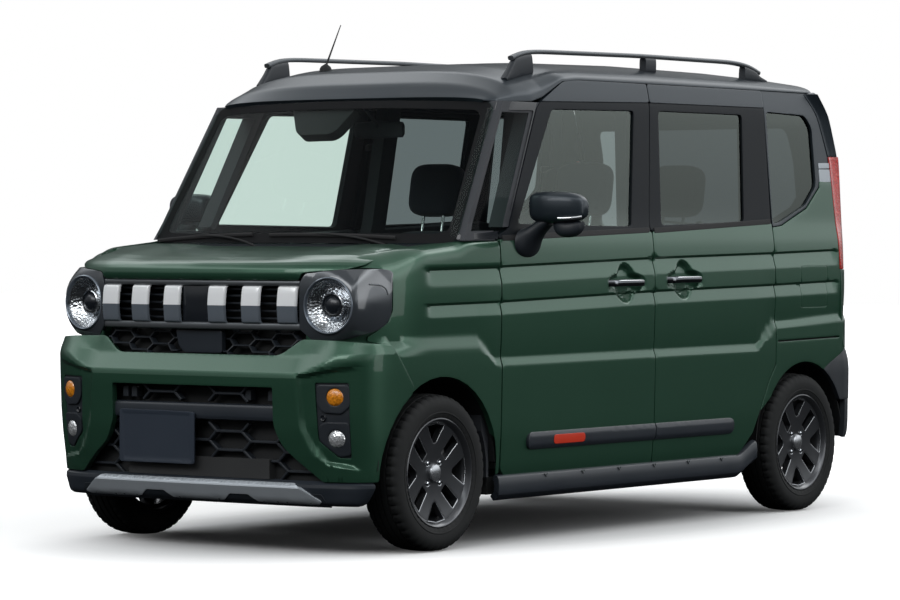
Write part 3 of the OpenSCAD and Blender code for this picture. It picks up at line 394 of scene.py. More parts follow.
# %% The studio floor's finish
def studio_floor():
    """White to the camera, grey to light that bounces. The lamps' shadow shows through a diffuse share, and a
    painted shadow darkens the glow under the car.
    """
    material, start = blank("studio_floor")
    pale = start.node("ShaderNodeBsdfDiffuse", sockets={0: rgba(.80, .80, .80)})
    dull = start.node("ShaderNodeBsdfDiffuse", sockets={0: rgba(.016, .017, .018)})
    place = start.place()
    # the glow rises with distance from the middle, so the floor stays white where the lamps' light falls off
    glow = place.vector("LENGTH", out=1).ease(1.6, 5.0, 0.40, 0.86)
    # painted shadow: the glow is cut to nothing in an oval under the car's footprint
    painted_car_shadow = place.vector("MULTIPLY", (1.10, .54, 0)).vector("LENGTH", out=1).ease(0.80, 1.35)
    light = (glow * painted_car_shadow).blend(rgba(0, 0, 0), rgba(1, 1, 1))
    bright = start.node("ShaderNodeEmission", sockets={0: light, 1: 1.0})
    both = start.node("ShaderNodeAddShader", sockets={0: pale, 1: bright})
    shown = start.node("ShaderNodeMixShader", sockets={0: start.seen(), 1: dull, 2: both})
    return shown_by(material, shown)


# %% [markdown]
# ## Pressed panels
# A body panel is a smooth sheet trimmed to an outline, with a rounded edge that turns in. Subdivision
# surfaces would need a cage for each panel and would pull its edges. Here one formula gives the skin's
# place for two running lengths, a grid of points is trimmed to the outline by a constrained triangulation,
# and the edge is rolled in by a few rings, so neighbours share one flowing surface and an even shut line.

# %% Outlines
def soft(t):
    t = np.clip(t, 0.0, 1.0)
    return t * t * (3 - 2 * t)


def merged(*rows_of):
    """All the marks of several rows, in order."""
    return np.unique(np.concatenate(rows_of))


def bell(reach, step, width):
    """Weights that smooth a row of values step apart over about width."""
    weights = np.exp(-0.5 * (np.arange(-reach, reach + 1) * step / width) ** 2)
    return weights / weights.sum()


def rounded(points, radius=0.0, steps=6):
    """Closed outline with its corners rounded. A point's third number is its own radius."""
    out = []
    for i, corner in enumerate(points):
        p = np.array(corner[:2], float)
        a = np.array(points[i - 1][:2], float) - p
        b = np.array(points[(i + 1) % len(points)][:2], float) - p
        size_a, size_b = np.linalg.norm(a), np.linalg.norm(b)
        cut = min(corner[2] if len(corner) > 2 else radius, 0.48 * size_a, 0.48 * size_b)
        if cut < 0.5:
            out.append(p)
            continue
        for t in np.linspace(0, 1, steps):
            out.append(p + a / size_a * cut * (1 - t) ** 2 + b / size_b * cut * t * t)
    return np.array(out)


def dense(loop, step):
    """The same outline with no edge longer than step."""
    out = []
    for p, q in zip(loop, np.roll(loop, -1, 0)):
        count = max(1, int(math.ceil(np.linalg.norm(q - p) / step)))
        out.extend(p + (q - p) * k / count for k in range(count))
    return np.array(out)


def inside(points, loop):
    x, y = points[:, :1], points[:, 1:2]
    x0, y0 = loop[:, 0], loop[:, 1]
    x1, y1 = np.roll(x0, -1), np.roll(y0, -1)
    hit = ((y0 > y) != (y1 > y)) & (x < (x1 - x0) * (y - y0) / (y1 - y0 + 1e-9) + x0)
    return hit.sum(1) % 2 == 1


def away_from(points, loop, gap):
    return np.min(np.hypot(points[:, :1] - loop[:, 0], points[:, 1:2] - loop[:, 1]), axis=1) > gap


# %% Meshes
def piece(name, verts, faces, material, body="body", smooth=35):
    """A mesh object from millimetre points, shaded smooth up to an angle, riding on a body of the car."""
    mesh = bpy.data.meshes.new(name)
    mesh.from_pydata([tuple(MM * c for c in v) for v in verts], [], [tuple(f) for f in faces])
    mesh.materials.append(material)
    mesh.update()
    mesh.shade_smooth()
    if smooth:
        mesh.set_sharp_from_angle(angle=math.radians(smooth))
    made = bpy.data.objects.new(name, mesh)
    scene.collection.objects.link(made)
    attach(made, body)
    return made


MIRROR_X = Matrix.Scale(-1, 4, (1, 0, 0))


def copied(made, name, place, body):
    """A piece copied to another place by a matrix. Its faces stay outward when the matrix mirrors."""
    mesh = made.data.copy()
    mesh.transform(place)
    if place.determinant() < 0:
        mesh.flip_normals()
    other = bpy.data.objects.new(name, mesh)
    scene.collection.objects.link(other)
    for modifier in made.modifiers:
        other.modifiers.new(modifier.name, modifier.type).keep_sharp = True
    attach(other, body)
    return other


def opposite(made, body="body", name=None):
    """The same piece on the car's right side."""
    return copied(made, name or made.name.replace("_left", "_right"), MIRROR_X, body)


def outward(made, weld=0.0):
    """The piece with its doubled points welded and its faces turned outward."""
    mesh = bmesh.new()
    mesh.from_mesh(made.data)
    if weld:
        bmesh.ops.remove_doubles(mesh, verts=mesh.verts, dist=weld)
    bmesh.ops.recalc_face_normals(mesh, faces=mesh.faces)
    mesh.to_mesh(made.data)
    mesh.free()
    return made


def bridged(rings, around):
    """Quads between rings of points, each closed on itself."""
    quads = []
    for i in range(rings - 1):
        for k in range(around):
            j = (k + 1) % around
            quads.append((i * around + k, i * around + j, (i + 1) * around + j, (i + 1) * around + k))
    return quads


def capped(rings, around):
    return bridged(rings, around) + [tuple(range(around))[::-1],
                                     tuple(range((rings - 1) * around, rings * around))]


def squared(value, power):
    """A sine or cosine, squared up as the power grows beyond 2."""
    return math.copysign(abs(value) ** (2 / power), value)


def spot(surface, a, b, *more):
    """One point of a surface."""
    return tuple(float(c) for c in surface(np.array(float(a)), np.array(float(b)), *more))


def press(name, co, faces, rims, material, out, lip=2.0, depth=14.0, body="body"):
    """A pressed panel from its points and faces: the rims, lists of points in order, roll in by a few rings.
    out is a direction that the panel faces, lip the radius of its edge and depth how far that turns in, a
    number or a function of the rim's points."""
    first = np.array([f[:3] for f in faces])
    normals = np.cross(co[first[:, 1]] - co[first[:, 0]], co[first[:, 2]] - co[first[:, 0]])
    if (normals @ np.array(out, float)).sum() < 0:
        faces = [tuple(f)[::-1] for f in faces]
        normals = -normals
    at = np.zeros_like(co)
    mid = np.zeros_like(co)
    share = np.zeros(len(co))
    for face, normal in zip(faces, normals):
        centre = co[list(face)].mean(0)
        for corner in face:
            at[corner] += normal
            mid[corner] += centre
            share[corner] += 1
    at /= np.linalg.norm(at, axis=1, keepdims=True) + 1e-12
    verts, faces = [tuple(c) for c in co], [tuple(f) for f in faces]
    for idx in rims:
        idx = np.array(idx)
        p, n = co[idx], at[idx]
        o = np.cross(np.roll(p, -1, 0) - np.roll(p, 1, 0), n)
        o /= np.linalg.norm(o, axis=1, keepdims=True) + 1e-12
        inner = mid[idx] / np.maximum(share[idx], 1)[:, None] - p
        sign = -1.0 if (o * inner).sum() > 0 else 1.0
        o *= sign
        last = idx
        turn_in = np.reshape(depth(p), (-1, 1)) if callable(depth) else depth
        for side, drop, deep in ((0.7, 0.3, 0), (1.0, 1.0, 0), (1.0, 1.0, 1)):
            ring = p + o * lip * side - n * (lip * drop + deep * turn_in)
            fresh = np.arange(len(verts), len(verts) + len(idx))
            verts.extend(tuple(c) for c in ring)
            for i in range(len(idx)):
                j = (i + 1) % len(idx)
                quad = (last[i], last[j], fresh[j], fresh[i])
                faces.append(quad if sign < 0 else quad[::-1])
            last = fresh
    made = piece(name, verts, faces, material, body, smooth=40)
    made.modifiers.new("even_shade", "WEIGHTED_NORMAL").keep_sharp = True
    return made


def skin(name, loop, surface, us, vs, material, out, holes=(), step=18.0, **edge):
    """A panel trimmed to an outline. loop and holes are outlines in the surface's two lengths, us and vs the
    grid's lines."""
    loops = [dense(np.asarray(l, float), step) for l in (loop, *holes)]
    grid = np.array([(u, v) for u in us for v in vs], float).reshape(-1, 2)
    keep = inside(grid, loops[0]) & away_from(grid, loops[0], 0.25 * step)
    for hole in loops[1:]:
        keep &= ~inside(grid, hole) & away_from(grid, hole, 0.25 * step)
    flat = np.concatenate(loops + [grid[keep]])
    starts = np.cumsum([0] + [len(l) for l in loops])
    rims = [list(range(a, b)) for a, b in zip(starts, starts[1:])]
    edges = [(r[i - 1], r[i]) for r in rims[1:] for i in range(len(r))]
    found = delaunay_2d_cdt([Vector(p) for p in flat], edges, [rims[0]], 1, 1e-5)
    flat = np.array([tuple(p) for p in found[0]])
    tris = np.array(found[2], int)
    home = {origin: i for i, origins in enumerate(found[3]) for origin in origins}
    for hole in loops[1:]:
        tris = tris[~inside(flat[tris].mean(1), hole)]
    co = np.asarray(surface(flat[:, 0], flat[:, 1]), float).T
    return press(name, co, tris, [[home[i] for i in rim] for rim in rims], material, out, **edge)


def lattice(name, surface, us, vs, material, out, **edge):
    """A panel whose outline is the grid's own edge, in quads."""
    nu, nv = len(us), len(vs)
    u, v = np.meshgrid(us, vs, indexing="ij")
    co = np.asarray(surface(u.ravel(), v.ravel()), float).T
    faces = [(i * nv + j, (i + 1) * nv + j, (i + 1) * nv + j + 1, i * nv + j + 1)
             for i in range(nu - 1) for j in range(nv - 1)]
    rim = [i * nv for i in range(nu - 1)] + [(nu - 1) * nv + j for j in range(nv - 1)]
    rim += [i * nv + nv - 1 for i in range(nu - 1, 0, -1)] + [j for j in range(nv - 1, 0, -1)]
    return press(name, co, faces, [rim], material, out, **edge)


print("panel tools ready")

# %% [markdown]
# ## The car's side
# The side is one surface from the headlamp to the tail lamp: a tall wall that tucks in at the sill and leans
# in above the belt. Three pressed lines cross it. The upper two are dark steps with a bright slope below,
# and the lowest is a shelf that climbs over each wheel. They rise slightly to the rear, so a grid that rises
# with them keeps each crease crisp.

# %% The side as a formula
SIDE_Z = [120, 173, 248, 400, 640, 900, 1000, 1090, 1150, 1600, 1682, 1760]
SIDE_INSET = [84, 60, 18, 7, 1, 1, 5, 12, 24, 66, 83, 104]
fine_z = np.arange(100.0, 1800.0, 2.0)
raw = np.interp(np.arange(20.0, 1880.0, 2.0), SIDE_Z, SIDE_INSET)
fine_inset = np.convolve(raw, bell(40, 2, 22.0), "same")[40:40 + len(fine_z)]
FRONT_HANDLE = (-38, 928)
REAR_HANDLE = (364, 937)


def rise(y):
    return np.interp(y, [-1700, -845, 156, 1031, 1472, 1700], [-12, 0, 26, 41, 51, 56])


def lean(h):
    return 0.15 + 0.85 * soft((h - 640) / 220)


def side_z(y, h):
    return h + rise(y) * lean(h)


def side_h(y, z):
    h = np.array(z, float)
    for _ in range(6):
        h = z - rise(y) * lean(h)
    return h


def shelf_z(y):
    return np.interp(y, [-1700, -1491, -1269, -985, -879, 895, 1020, 1040, 1503, 1700],
                     [733, 739, 747, 748, 671, 681, 772, 768, 788, 792])


def plan_inset(y, z=900.0):
    """How far the plan draws in towards the ends. Below the shelf the front flares out over the wheel."""
    ahead = y - Y_FRONT
    upper = 42 * (np.clip(420 - ahead, 0, None) / 195) ** 1.9
    lower = 47 * (np.clip(320 - ahead, 0, None) / 180) ** 2
    share = soft((z - shelf_z(y) + 36) / 36)
    tail = 44 * (np.clip(120 - (Y_REAR - 48 - y), 0, None) / 120) ** 2.2
    return lower + (upper - lower) * share + tail + 5 * ((y - 100) / 1500) ** 2


def side_inset(y, z):
    """Depth of the skin inside the half width."""
    h = side_h(y, z)
    depth = np.interp(z, fine_z, fine_inset)
    ends = soft((y + 1300) / 40) * (1 - soft((y - 1500) / 35))
    for line, width, deep in ((990, 54, 12.0), (866, 42, 11.0)):
        ramp = np.clip((h - line + width) / width, 0, 1) * (1 - soft((h - line) / 9))
        depth = depth + deep * ramp * ends
    drop = shelf_z(y) - z
    above = 9.5 * np.exp(np.minimum(drop, 0) / 110.0)
    depth = depth + np.where(drop < 0, above, 9.5 * (1 - soft(drop / 32)))
    for handle_y, handle_z in (FRONT_HANDLE, REAR_HANDLE):
        across = ((y - handle_y) / 134) ** 2 + ((z - handle_z) / 43) ** 2
        upright = ((y - handle_y) / 66) ** 2 + ((z - handle_z) / 78) ** 2
        bowl = 1 - np.minimum(across, upright)
        depth = depth + 24 * soft(bowl * 1.6)
    return depth


def side(y, h, inset=0.0):
    z = side_z(y, h)
    x = HALF_W - side_inset(y, z) - plan_inset(y, z) - inset
    return x, y, z


def on_side(points, radius=8.0):
    """Outline of [y, z] points, with rounded corners, as lengths on the side's surface."""
    loop = dense(rounded(points, radius), 30)
    return np.stack([loop[:, 0], side_h(loop[:, 0], loop[:, 1])], 1)


def rows(low, high, coarse=22.0):
    """Heights of the grid's lines, close together where a crease runs."""
    marks = np.concatenate([np.arange(low, high, coarse), np.arange(816, 884, 5.0),
                            np.arange(926, 1010, 5.0)])
    marks = np.concatenate([marks, np.arange(630, 690, 6.0)])
    return np.unique(np.round(marks[(marks >= low) & (marks <= high)] / 2.5)) * 2.5


def columns(low, high, coarse=22.0):
    close = [np.arange(centre - 140, centre + 140, 9.0) for centre in (FRONT_HANDLE[0], REAR_HANDLE[0])]
    close += [np.arange(-1000, -860, 9.0), np.arange(880, 1050, 9.0)]
    marks = np.concatenate([np.arange(low, high, coarse)] + close)
    return np.unique(np.round(marks[(marks >= low) & (marks <= high)] / 4.5)) * 4.5


def deeper(depth):
    """The side's surface, set in by a depth."""
    return lambda y, h: side(y, h, depth)


def arc(centre, radius, start, end, count=14):
    """Points on a circle in the side view, by angles in degrees from the rear."""
    a = np.radians(np.linspace(start, end, count))
    return [(centre[0] + radius * math.cos(t), centre[1] + radius * math.sin(t)) for t in a]


print("side is", round(float(HALF_W - side_inset(0.0, 1500.0)), 1), "mm from the middle at the windows")

# %% [markdown]
# ## Doors, fenders and quarters
# Each panel is cut from the side's surface by its own outline. Door frames above the belt are black, the
# strip over the windows has the roof's colour, and the lower skins are green. A door's window is a hole
# whose edge turns in, and a dark inner trim closes the door's back, as it shows when the door stands open.

# %% Side outlines
GAP = 4.0
BELT = [(-961, 1090), (162, 1122), (855, 1149), (1460, 1178)]


def belt(y):
    return float(np.interp(y, [p[0] for p in BELT], [p[1] for p in BELT]))


def drip(y):
    return float(np.interp(y, [-761, 196, 1044], [1588, 1609, 1612]))


DOOR_TOP = 1679
B_TOP_Y = B_Y + 58
FRONT_DOOR_EDGE = [(DOOR_Y + 32, 248), (DOOR_Y + 6, 272), (DOOR_Y + 2, 400), (DOOR_Y, 1084)]
front_skin = [(y + GAP, z) for y, z in FRONT_DOOR_EDGE] + [(DOOR_Y + GAP, belt(DOOR_Y) - 3),
                                                           (B_Y - GAP, belt(B_Y) - 3), (B_Y - GAP, 250)]
FRAME_FOOT, FRAME_HEAD = (-770, 1130), (-538, 1564)
front_frame = [(DOOR_Y + GAP, belt(DOOR_Y) + 3), (DOOR_Y + GAP + 3, 1106), (FRAME_FOOT[0], 1132),
               (FRAME_HEAD[0], 1564), (FRAME_HEAD[0] + 28, drip(-510) - 2),
               (B_TOP_Y - GAP, drip(B_TOP_Y) - 2), (B_TOP_Y - GAP, 1594), (144, 1136),
               (B_Y - GAP, belt(B_Y) + 3)]
front_top = [(FRAME_HEAD[0] + 34, drip(-500) + 2), (-490, 1602), (-358, 1666), (-290, DOOR_TOP),
             (B_TOP_Y - GAP, DOOR_TOP), (B_TOP_Y - GAP, drip(B_TOP_Y) + 2)]
front_pane = [(-716, 1146), (-443, 1569), (105, 1577), (26, 1138)]
REAR_EDGE = [(C_Y - 8, 1105), (C_Y - 8, 596), (C_Y - 58, 532), (C_Y - 122, 413), (C_Y - 165, 332),
             (C_Y - 262, 250)]
rear_skin = [(B_Y + GAP, 250), (B_Y + GAP, belt(B_Y) - 3), (C_Y - 6, belt(C_Y) - 3)] + REAR_EDGE
rear_frame = [(B_Y + GAP, belt(B_Y) + 3), (150, 1140), (B_TOP_Y + GAP, 1594),
              (B_TOP_Y + GAP, drip(B_TOP_Y) - 2), (C_Y + 6, drip(C_Y) - 2), (C_Y - 6, belt(C_Y) + 3)]
rear_top = [(B_TOP_Y + GAP, drip(B_TOP_Y) + 2), (B_TOP_Y + GAP, DOOR_TOP), (C_Y + 8, DOOR_TOP),
            (C_Y + 6, drip(C_Y) + 2)]
rear_pane = [(231, 1143), (271, 1581), (880, 1582), (834, 1158)]
print("door outlines:", len(front_skin) + len(rear_skin), "points")

# %% Front and rear doors
SIDE = (1, 0, 0)
frame_side = deeper(3.0)


def inner_side(y, h):
    z = side_z(y, h)
    return HALF_W - np.interp(z, fine_z, fine_inset) - plan_inset(y) - 62.0, y, z


def door_pieces(label, skin_line, frame_line, top_line, pane_line, pane_finish, body, radius):
    """Outer skin, black frame, roof-coloured top strip, pane and inner trim of a left door."""
    low, high = min(p[0] for p in skin_line), max(p[0] for p in frame_line + skin_line)
    made = {}
    made["skin"] = skin(label + "_skin", on_side(skin_line, radius), side, columns(low, high),
                        rows(240, 1150), GREEN, SIDE, body=body)
    pane_hole = on_side(pane_line, 22)
    made["frame"] = skin(label + "_frame", on_side(frame_line, 6), frame_side, np.arange(low, high, 40.0),
                         np.arange(1080, 1620, 40.0), FRAME_BLACK, SIDE, holes=[pane_hole], body=body,
                         depth=22)
    made["top"] = skin(label + "_top", on_side(top_line, 10), side, np.arange(low, high, 40.0),
                       np.arange(1590, 1690, 20.0), GUNMETAL, SIDE, body=body, depth=22)
    bigger = on_side(grown(pane_line, 9), 26)
    made["pane"] = skin(label + "_pane", bigger, deeper(11.0), np.arange(low, high, 50.0),
                        np.arange(1080, 1620, 50.0), pane_finish, SIDE, body=body, lip=0.5, depth=3)
    trim_line = [(y + (10 if y < 0.5 * (low + high) else -10), z + (44 if z < 400 else 0))
                 for y, z in skin_line]
    made["trim"] = skin(label + "_trim", on_side(trim_line, 30), inner_side, np.arange(low, high, 45.0),
                        np.arange(250, 1150, 45.0), TRIM_DARK, (-1, 0, 0), body=body, lip=4, depth=36)
    end = high - (20 if body == "body" else 75)
    strip_line = [(low + 14, belt(low) - 5), (end, belt(high) - 5), (end, belt(high) + 11),
                  (low + 14, belt(low) + 11)]
    made["strip"] = skin(label + "_belt_strip", on_side(strip_line, 5), deeper(-2.0),
                         np.arange(low, high, 60.0), [], GASKET, SIDE, body=body, lip=2, depth=6)
    return made


def grown(points, by):
    """An outline pushed out from its middle."""
    p = np.array([q[:2] for q in points], float)
    mid = p.mean(0)
    away = (p - mid) / np.linalg.norm(p - mid, axis=1, keepdims=True)
    return [tuple(q) for q in p + away * by * 1.4]


front = door_pieces("front_door_left", front_skin, front_frame, front_top, front_pane, SIDE_GLASS,
                    "front_door_left", 12)
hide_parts("front_door_left")
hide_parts("door_window_left")
for part, made in front.items():
    twin = opposite(made, "front_door_right", "front_door_right_" + part)
    if part == "skin":
        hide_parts("front_door_right")
    if part == "pane":
        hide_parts("door_window_right")
rear = door_pieces("rear_door_left", rear_skin, rear_frame, rear_top, rear_pane, PRIVACY, "body", 12)
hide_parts("rear_doors")
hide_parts("side_windows")
for part, made in rear.items():
    opposite(made, name="rear_door_right_" + part)
print("doors:", len(front) * 2 + len(rear) * 2, "pieces")

# %% [markdown]
# ## Fenders
# Above the wheel the fender rolls over into a flat shoulder that meets the bonnet. A plain wall would
# stop at a hard edge there, so the fender's height runs on as an angle round the shoulder.

# %% Front fenders
SHOULDER_Y = [-1560, -1529, -1478, -1369, -1217, -1069, -849]
SHOULDER_Z = [1004, 1024, 1042, 1058, 1071, 1084, 1090]


def shoulder_reach(y):
    return 100 - 78 * soft((y + 1230) / 240)


def shoulder_radius(y):
    return np.minimum(shoulder_reach(y), 100 - 46 * soft((y + 1450) / 160))


def shoulder_start(y):
    return np.interp(y, SHOULDER_Y, SHOULDER_Z) - shoulder_radius(y)


ROLL = 1.42


def fender(y, h):
    z0 = shoulder_start(y)
    r = shoulder_radius(y)
    turned = np.clip((h - z0) / r, 0, ROLL)
    flat = np.clip(h - z0 - ROLL * r, 0, None)
    z = np.minimum(side_z(y, h), z0)
    x = HALF_W - side_inset(y, z) - plan_inset(y, z)
    return x - r * (1 - np.cos(turned)) - flat, y, z + r * np.sin(turned) + 0.06 * flat


def shoulder_edge(y):
    r = shoulder_radius(y)
    return float(shoulder_start(y) + ROLL * r + np.maximum(0.85 * (shoulder_reach(y) - r) - 3, 0))


LAMP_END_Y = -1443
FRONT_ARCH = 338
FENDER_LOW = 256
arch_front = arc((FRONT_AXLE_Y, AXLE_Z), FRONT_ARCH,
                 math.degrees(math.asin((FENDER_LOW - AXLE_Z) / FRONT_ARCH)), 122)
bumper_side = [(-1372, 588), (-1486, 733), (-1530, 744), (-1528, 756), (-1497, 776), (-1462, 802),
               (LAMP_END_Y, 845)]
fender_wall = [(DOOR_Y - GAP, 400), (DOOR_Y + 2 - GAP, FENDER_LOW)] + arch_front + bumper_side
fender_wall = [(y, float(side_h(y, z))) for y, z in fender_wall]
shoulder = [(y, shoulder_edge(y)) for y in np.linspace(-1554, -1075, 24)]
lamp_top = [(LAMP_END_Y, 950), (LAMP_END_Y - 9, 978), (LAMP_END_Y - 29, 994), (-1520, 1002), (-1556, 1010)]
fender_loop = rounded(fender_wall + lamp_top + shoulder + [(-1000, 1094), (DOOR_Y - GAP - 2, 1090)], 4)
left_fender = skin("fender_left", fender_loop, fender, columns(-1556, DOOR_Y + 60, 18),
                   merged(rows(240, 900), np.arange(900, 1160, 8.0)), GREEN, SIDE, lip=1.2,
                   depth=lambda p: np.where(p[:, 1] > DOOR_Y - 40, 0.5, 20.0))
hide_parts("front_fenders")
opposite(left_fender)
print("fender faces", len(left_fender.data.polygons))

# %% [markdown]
# ## Rear quarters
# The quarter panel carries the rear arch, the filler lid and the slot that the sliding door's arm runs in.
# Its skin curves round to the tail lamp, and its window sits in a bevelled frame behind a dark pane. The
# lid is on the left only, so the right panel is trimmed from its own outline instead of being mirrored.

# %% Rear quarters
REAR_ARCH = 326
TAIL_Z = 652
TAIL_LAMP_Y = Y_REAR - 150
arch_rear = arc((REAR_AXLE_Y, AXLE_Z), REAR_ARCH, 63, 150, 16)
quarter_loop = [(C_Y, 1100), (C_Y, 592), (C_Y - 50, 530),
                (C_Y - 112, 418)] + arch_rear[::-1][1:] + [(Y_REAR - 254, 586), (Y_REAR - 104, TAIL_Z - 4)]
quarter_top = [(Y_REAR - 56, TAIL_Z), (Y_REAR - 52, 964), (TAIL_LAMP_Y, 968), (TAIL_LAMP_Y, 1320),
               (1440, 1323), (1436, 1300), (1318, 1212), (1110, 1142), (C_Y + 2, 1136)]
lid = [(1238, 819), (1441, 819), (1441, 983), (1238, 983)]
slot = [(1048, 682), (1535, 690), (1535, 700), (1048, 692)]
quarter_rows = merged(rows(280, 1420), np.arange(690, 800, 7.0))
left_quarter = skin("quarter_left", on_side(quarter_loop + quarter_top, 5), side, columns(880, Y_REAR, 16),
                    quarter_rows, GREEN, SIDE, holes=[on_side(grown(lid, 3), 16), on_side(slot, 3)],
                    depth=20)
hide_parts("quarter_panels")
skin("quarter_right", on_side(quarter_loop + quarter_top, 5),
     lambda y, h: (-side(y, h)[0], y, side(y, h)[2]), columns(880, Y_REAR, 16), quarter_rows, GREEN,
     (-1, 0, 0), holes=[on_side(slot, 3)], depth=20)
skin("filler_lid", on_side(lid, 16), side, columns(1230, 1450, 14), rows(815, 990, 14), GREEN, SIDE,
     depth=8, lip=1.5)
channel = skin("slide_channel_left", on_side(grown(slot, 12), 4), deeper(14.0), np.arange(1040, 1540, 40.0),
               [], BLACK_MATT, SIDE, depth=4)
opposite(channel)
upper_loop = [(C_Y + 8, 1142), (1110, 1148), (1316, 1218), (1432, 1304), (1438, 1330),
              (TAIL_LAMP_Y + 50, 1330), (TAIL_LAMP_Y + 42, 1426), (1560, 1590), (1470, 1684),
              (C_Y + 14, 1684), (C_Y + 12, 1600)]
tail_pane = [(1029, 1150), (1046, 1599), (1365, 1591), (1414, 1541), (1414, 1306), (1313, 1225), (1106, 1157)]
quarter_pane = [(y + 18 if y < 1050 else y, z) for y, z in tail_pane]
upper = skin("d_pillar_left", on_side(upper_loop, 5), frame_side, np.arange(1040, 1650, 22.0),
             np.arange(1090, 1700, 22.0), GUNMETAL, SIDE, holes=[on_side(quarter_pane, 24)], depth=20)
opposite(upper)
tail_glass = skin("quarter_pane_left", on_side(grown(quarter_pane, 8), 28), deeper(13.0),
                  np.arange(1030, 1430, 40.0), np.arange(1090, 1620, 40.0), PRIVACY, SIDE, lip=.5, depth=3)
opposite(tail_glass)
for label, low, high in (("wide", 1323, 1372), ("narrow", 1378, 1398)):
    band = skin("d_band_%s_left" % label,
                on_side([(1442, low), (TAIL_LAMP_Y + 38, low + 3), (TAIL_LAMP_Y + 38, high + 3),
                         (1442, high)], 2), deeper(1.0), np.arange(1440, 1640, 14.0), [], SATIN_SILVER,
                SIDE, lip=1, depth=5)
    opposite(band)
print("quarter faces", len(left_quarter.data.polygons))

# %% [markdown]
# ## Roof, screen and pillars
# The roof is a wide shallow crown whose edge comes down in a tight curve to the gutter and, in front, to the
# head of the windscreen. The screen is part of a large drum laid back at its slope, so its corners sweep
# back. A black printed border hides the bond, and the front pillar is a narrow black skin beside it.

# %% Roof
SCREEN_BASE_Y, SCREEN_BASE_Z, SCREEN_SLOPE, SCREEN_R = Y_FRONT + 558, 1077, math.radians(57.5), 4200
SCREEN_TOP_Y = SCREEN_BASE_Y + (1607 - SCREEN_BASE_Z) / math.tan(SCREEN_SLOPE)
CROWN_Y = SCREEN_TOP_Y + np.array([0, 55, 150, 300, 600, 1100, 1700, 2050, 2240, 2300])
CROWN_Z = 1765 - np.array([158, 104, 55, 27, 9, 0, 5, 17, 30, 36])
EDGE_Y = [-802, -760, -560, -490, -358, -250, 200, 1440, 1500]
EDGE_X = [600, 632, 662, 661, 656, 655, 655, 652, 640]
EDGE_Z = [1592, 1590, 1594, 1612, 1672, 1682, 1683, 1683, 1680]
ROOF_END_Y = Y_REAR - 262


def roof(y, q, under=0.0):
    """Skin at a length along the car and a share across it, from -1 to 1, closer spaced at the gutters."""
    crown = np.interp(y, CROWN_Y, CROWN_Z) - under
    edge = np.interp(y, EDGE_Y, EDGE_Z) - under
    ratio = 1 - (1 - np.abs(q)) ** 1.8
    bow = 26 * ratio ** 2 * (1 - soft((y - SCREEN_TOP_Y) / 260))
    rib = 0.0
    for centre in (0.24, 0.58):
        rib = rib + 3.5 * np.exp(-((ratio - centre) / 0.022) ** 2)
    rib = rib * soft((y + 380) / 140) * (1 - soft((y - 1180) / 120))
    x = np.interp(y, EDGE_Y, EDGE_X) * np.sign(q) * ratio
    z = edge + (crown - edge) * np.maximum(1 - ratio ** 4, 0) ** 0.52 - rib
    return x, y + bow, z


half_row = merged(np.linspace(0, 1, 41), np.linspace(0.115, 0.170, 9), np.linspace(0.355, 0.41, 9))
roof_rows = np.concatenate([-half_row[:0:-1], half_row])
roof_columns = np.concatenate([np.arange(SCREEN_TOP_Y + 3, -480, 12), np.linspace(-480, ROOF_END_Y, 62)])
roof_skin = lattice("roof_skin", roof, roof_columns, roof_rows, GUNMETAL, (0, 0, 1), depth=18)
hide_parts("roof")
lattice("headliner", lambda y, q: roof(y, q, 36), np.linspace(-730, 1400, 40), np.linspace(-0.86, 0.86, 31),
                 HEADLINER, (0, 0, -1), depth=4)
print("roof spans", round(float(SCREEN_TOP_Y)), "to", round(ROOF_END_Y))

# %% Windscreen and its border
SLOPE = (math.cos(SCREEN_SLOPE), math.sin(SCREEN_SLOPE))


def screen(x, s, lift=0.0):
    """The drum's face at a distance across and up the slope, lifted off along its normal."""
    sunk = SCREEN_R - np.sqrt(SCREEN_R ** 2 - x ** 2) - lift
    return x, SCREEN_BASE_Y + s * SLOPE[0] + sunk * SLOPE[1], SCREEN_BASE_Z + s * SLOPE[1] - sunk * SLOPE[0]


def screen_s(x, z):
    sunk = SCREEN_R - math.sqrt(SCREEN_R ** 2 - x ** 2)
    return (z - SCREEN_BASE_Z + sunk * SLOPE[0]) / SLOPE[1]


def screen_loop(low_x, low_z, top_x, top_z, crown, radius):
    """Outline on the screen, with its upper edge bowed by crown."""
    low = [(x, low_z) for x in np.linspace(-low_x, low_x, 15)]
    top = [(x, top_z + crown * (1 - (x / top_x) ** 2)) for x in np.linspace(top_x, -top_x, 15)]
    loop = [(x, screen_s(x, z)) for x, z in low + top]
    for corner in (0, 14, 15, 29):
        loop[corner] = (*loop[corner], radius)
    return rounded(loop, 0)


across = np.linspace(-700, 700, 41)
up = np.arange(-20, 660, 40.0)
glass_edge = screen_loop(692, 1076, 633, 1586, 14, 30)
view_edge = screen_loop(652, 1112, 600, 1556, 14, 60)
windscreen = skin("windscreen_pane", glass_edge, screen, across, up, GLASS, (0, -1, .6), lip=.8, depth=4)
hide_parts("windscreen")
skin("windscreen_border", screen_loop(690, 1078, 631, 1584, 14, 30), lambda x, s: screen(x, s, 0.9), across,
     up, BORDER, (0, -1, .6), holes=[view_edge], lip=.3, depth=.4)
print("windscreen top", round(float(SCREEN_TOP_Y)))

# %% Front pillars
def screen_edge(z, by=0):
    """Length along the car at which the pillar meets the screen."""
    return SCREEN_BASE_Y + (z - SCREEN_BASE_Z) / math.tan(SCREEN_SLOPE) + 66 + by


def pillar(y, h):
    """The side's surface, drawn in towards the screen's edge."""
    x, y, z = side(y, h, 3.0)
    near = np.clip(1 - (y - screen_edge(z)) / 85, 0, 1.2)
    return x - 24 * near ** 2, y, z


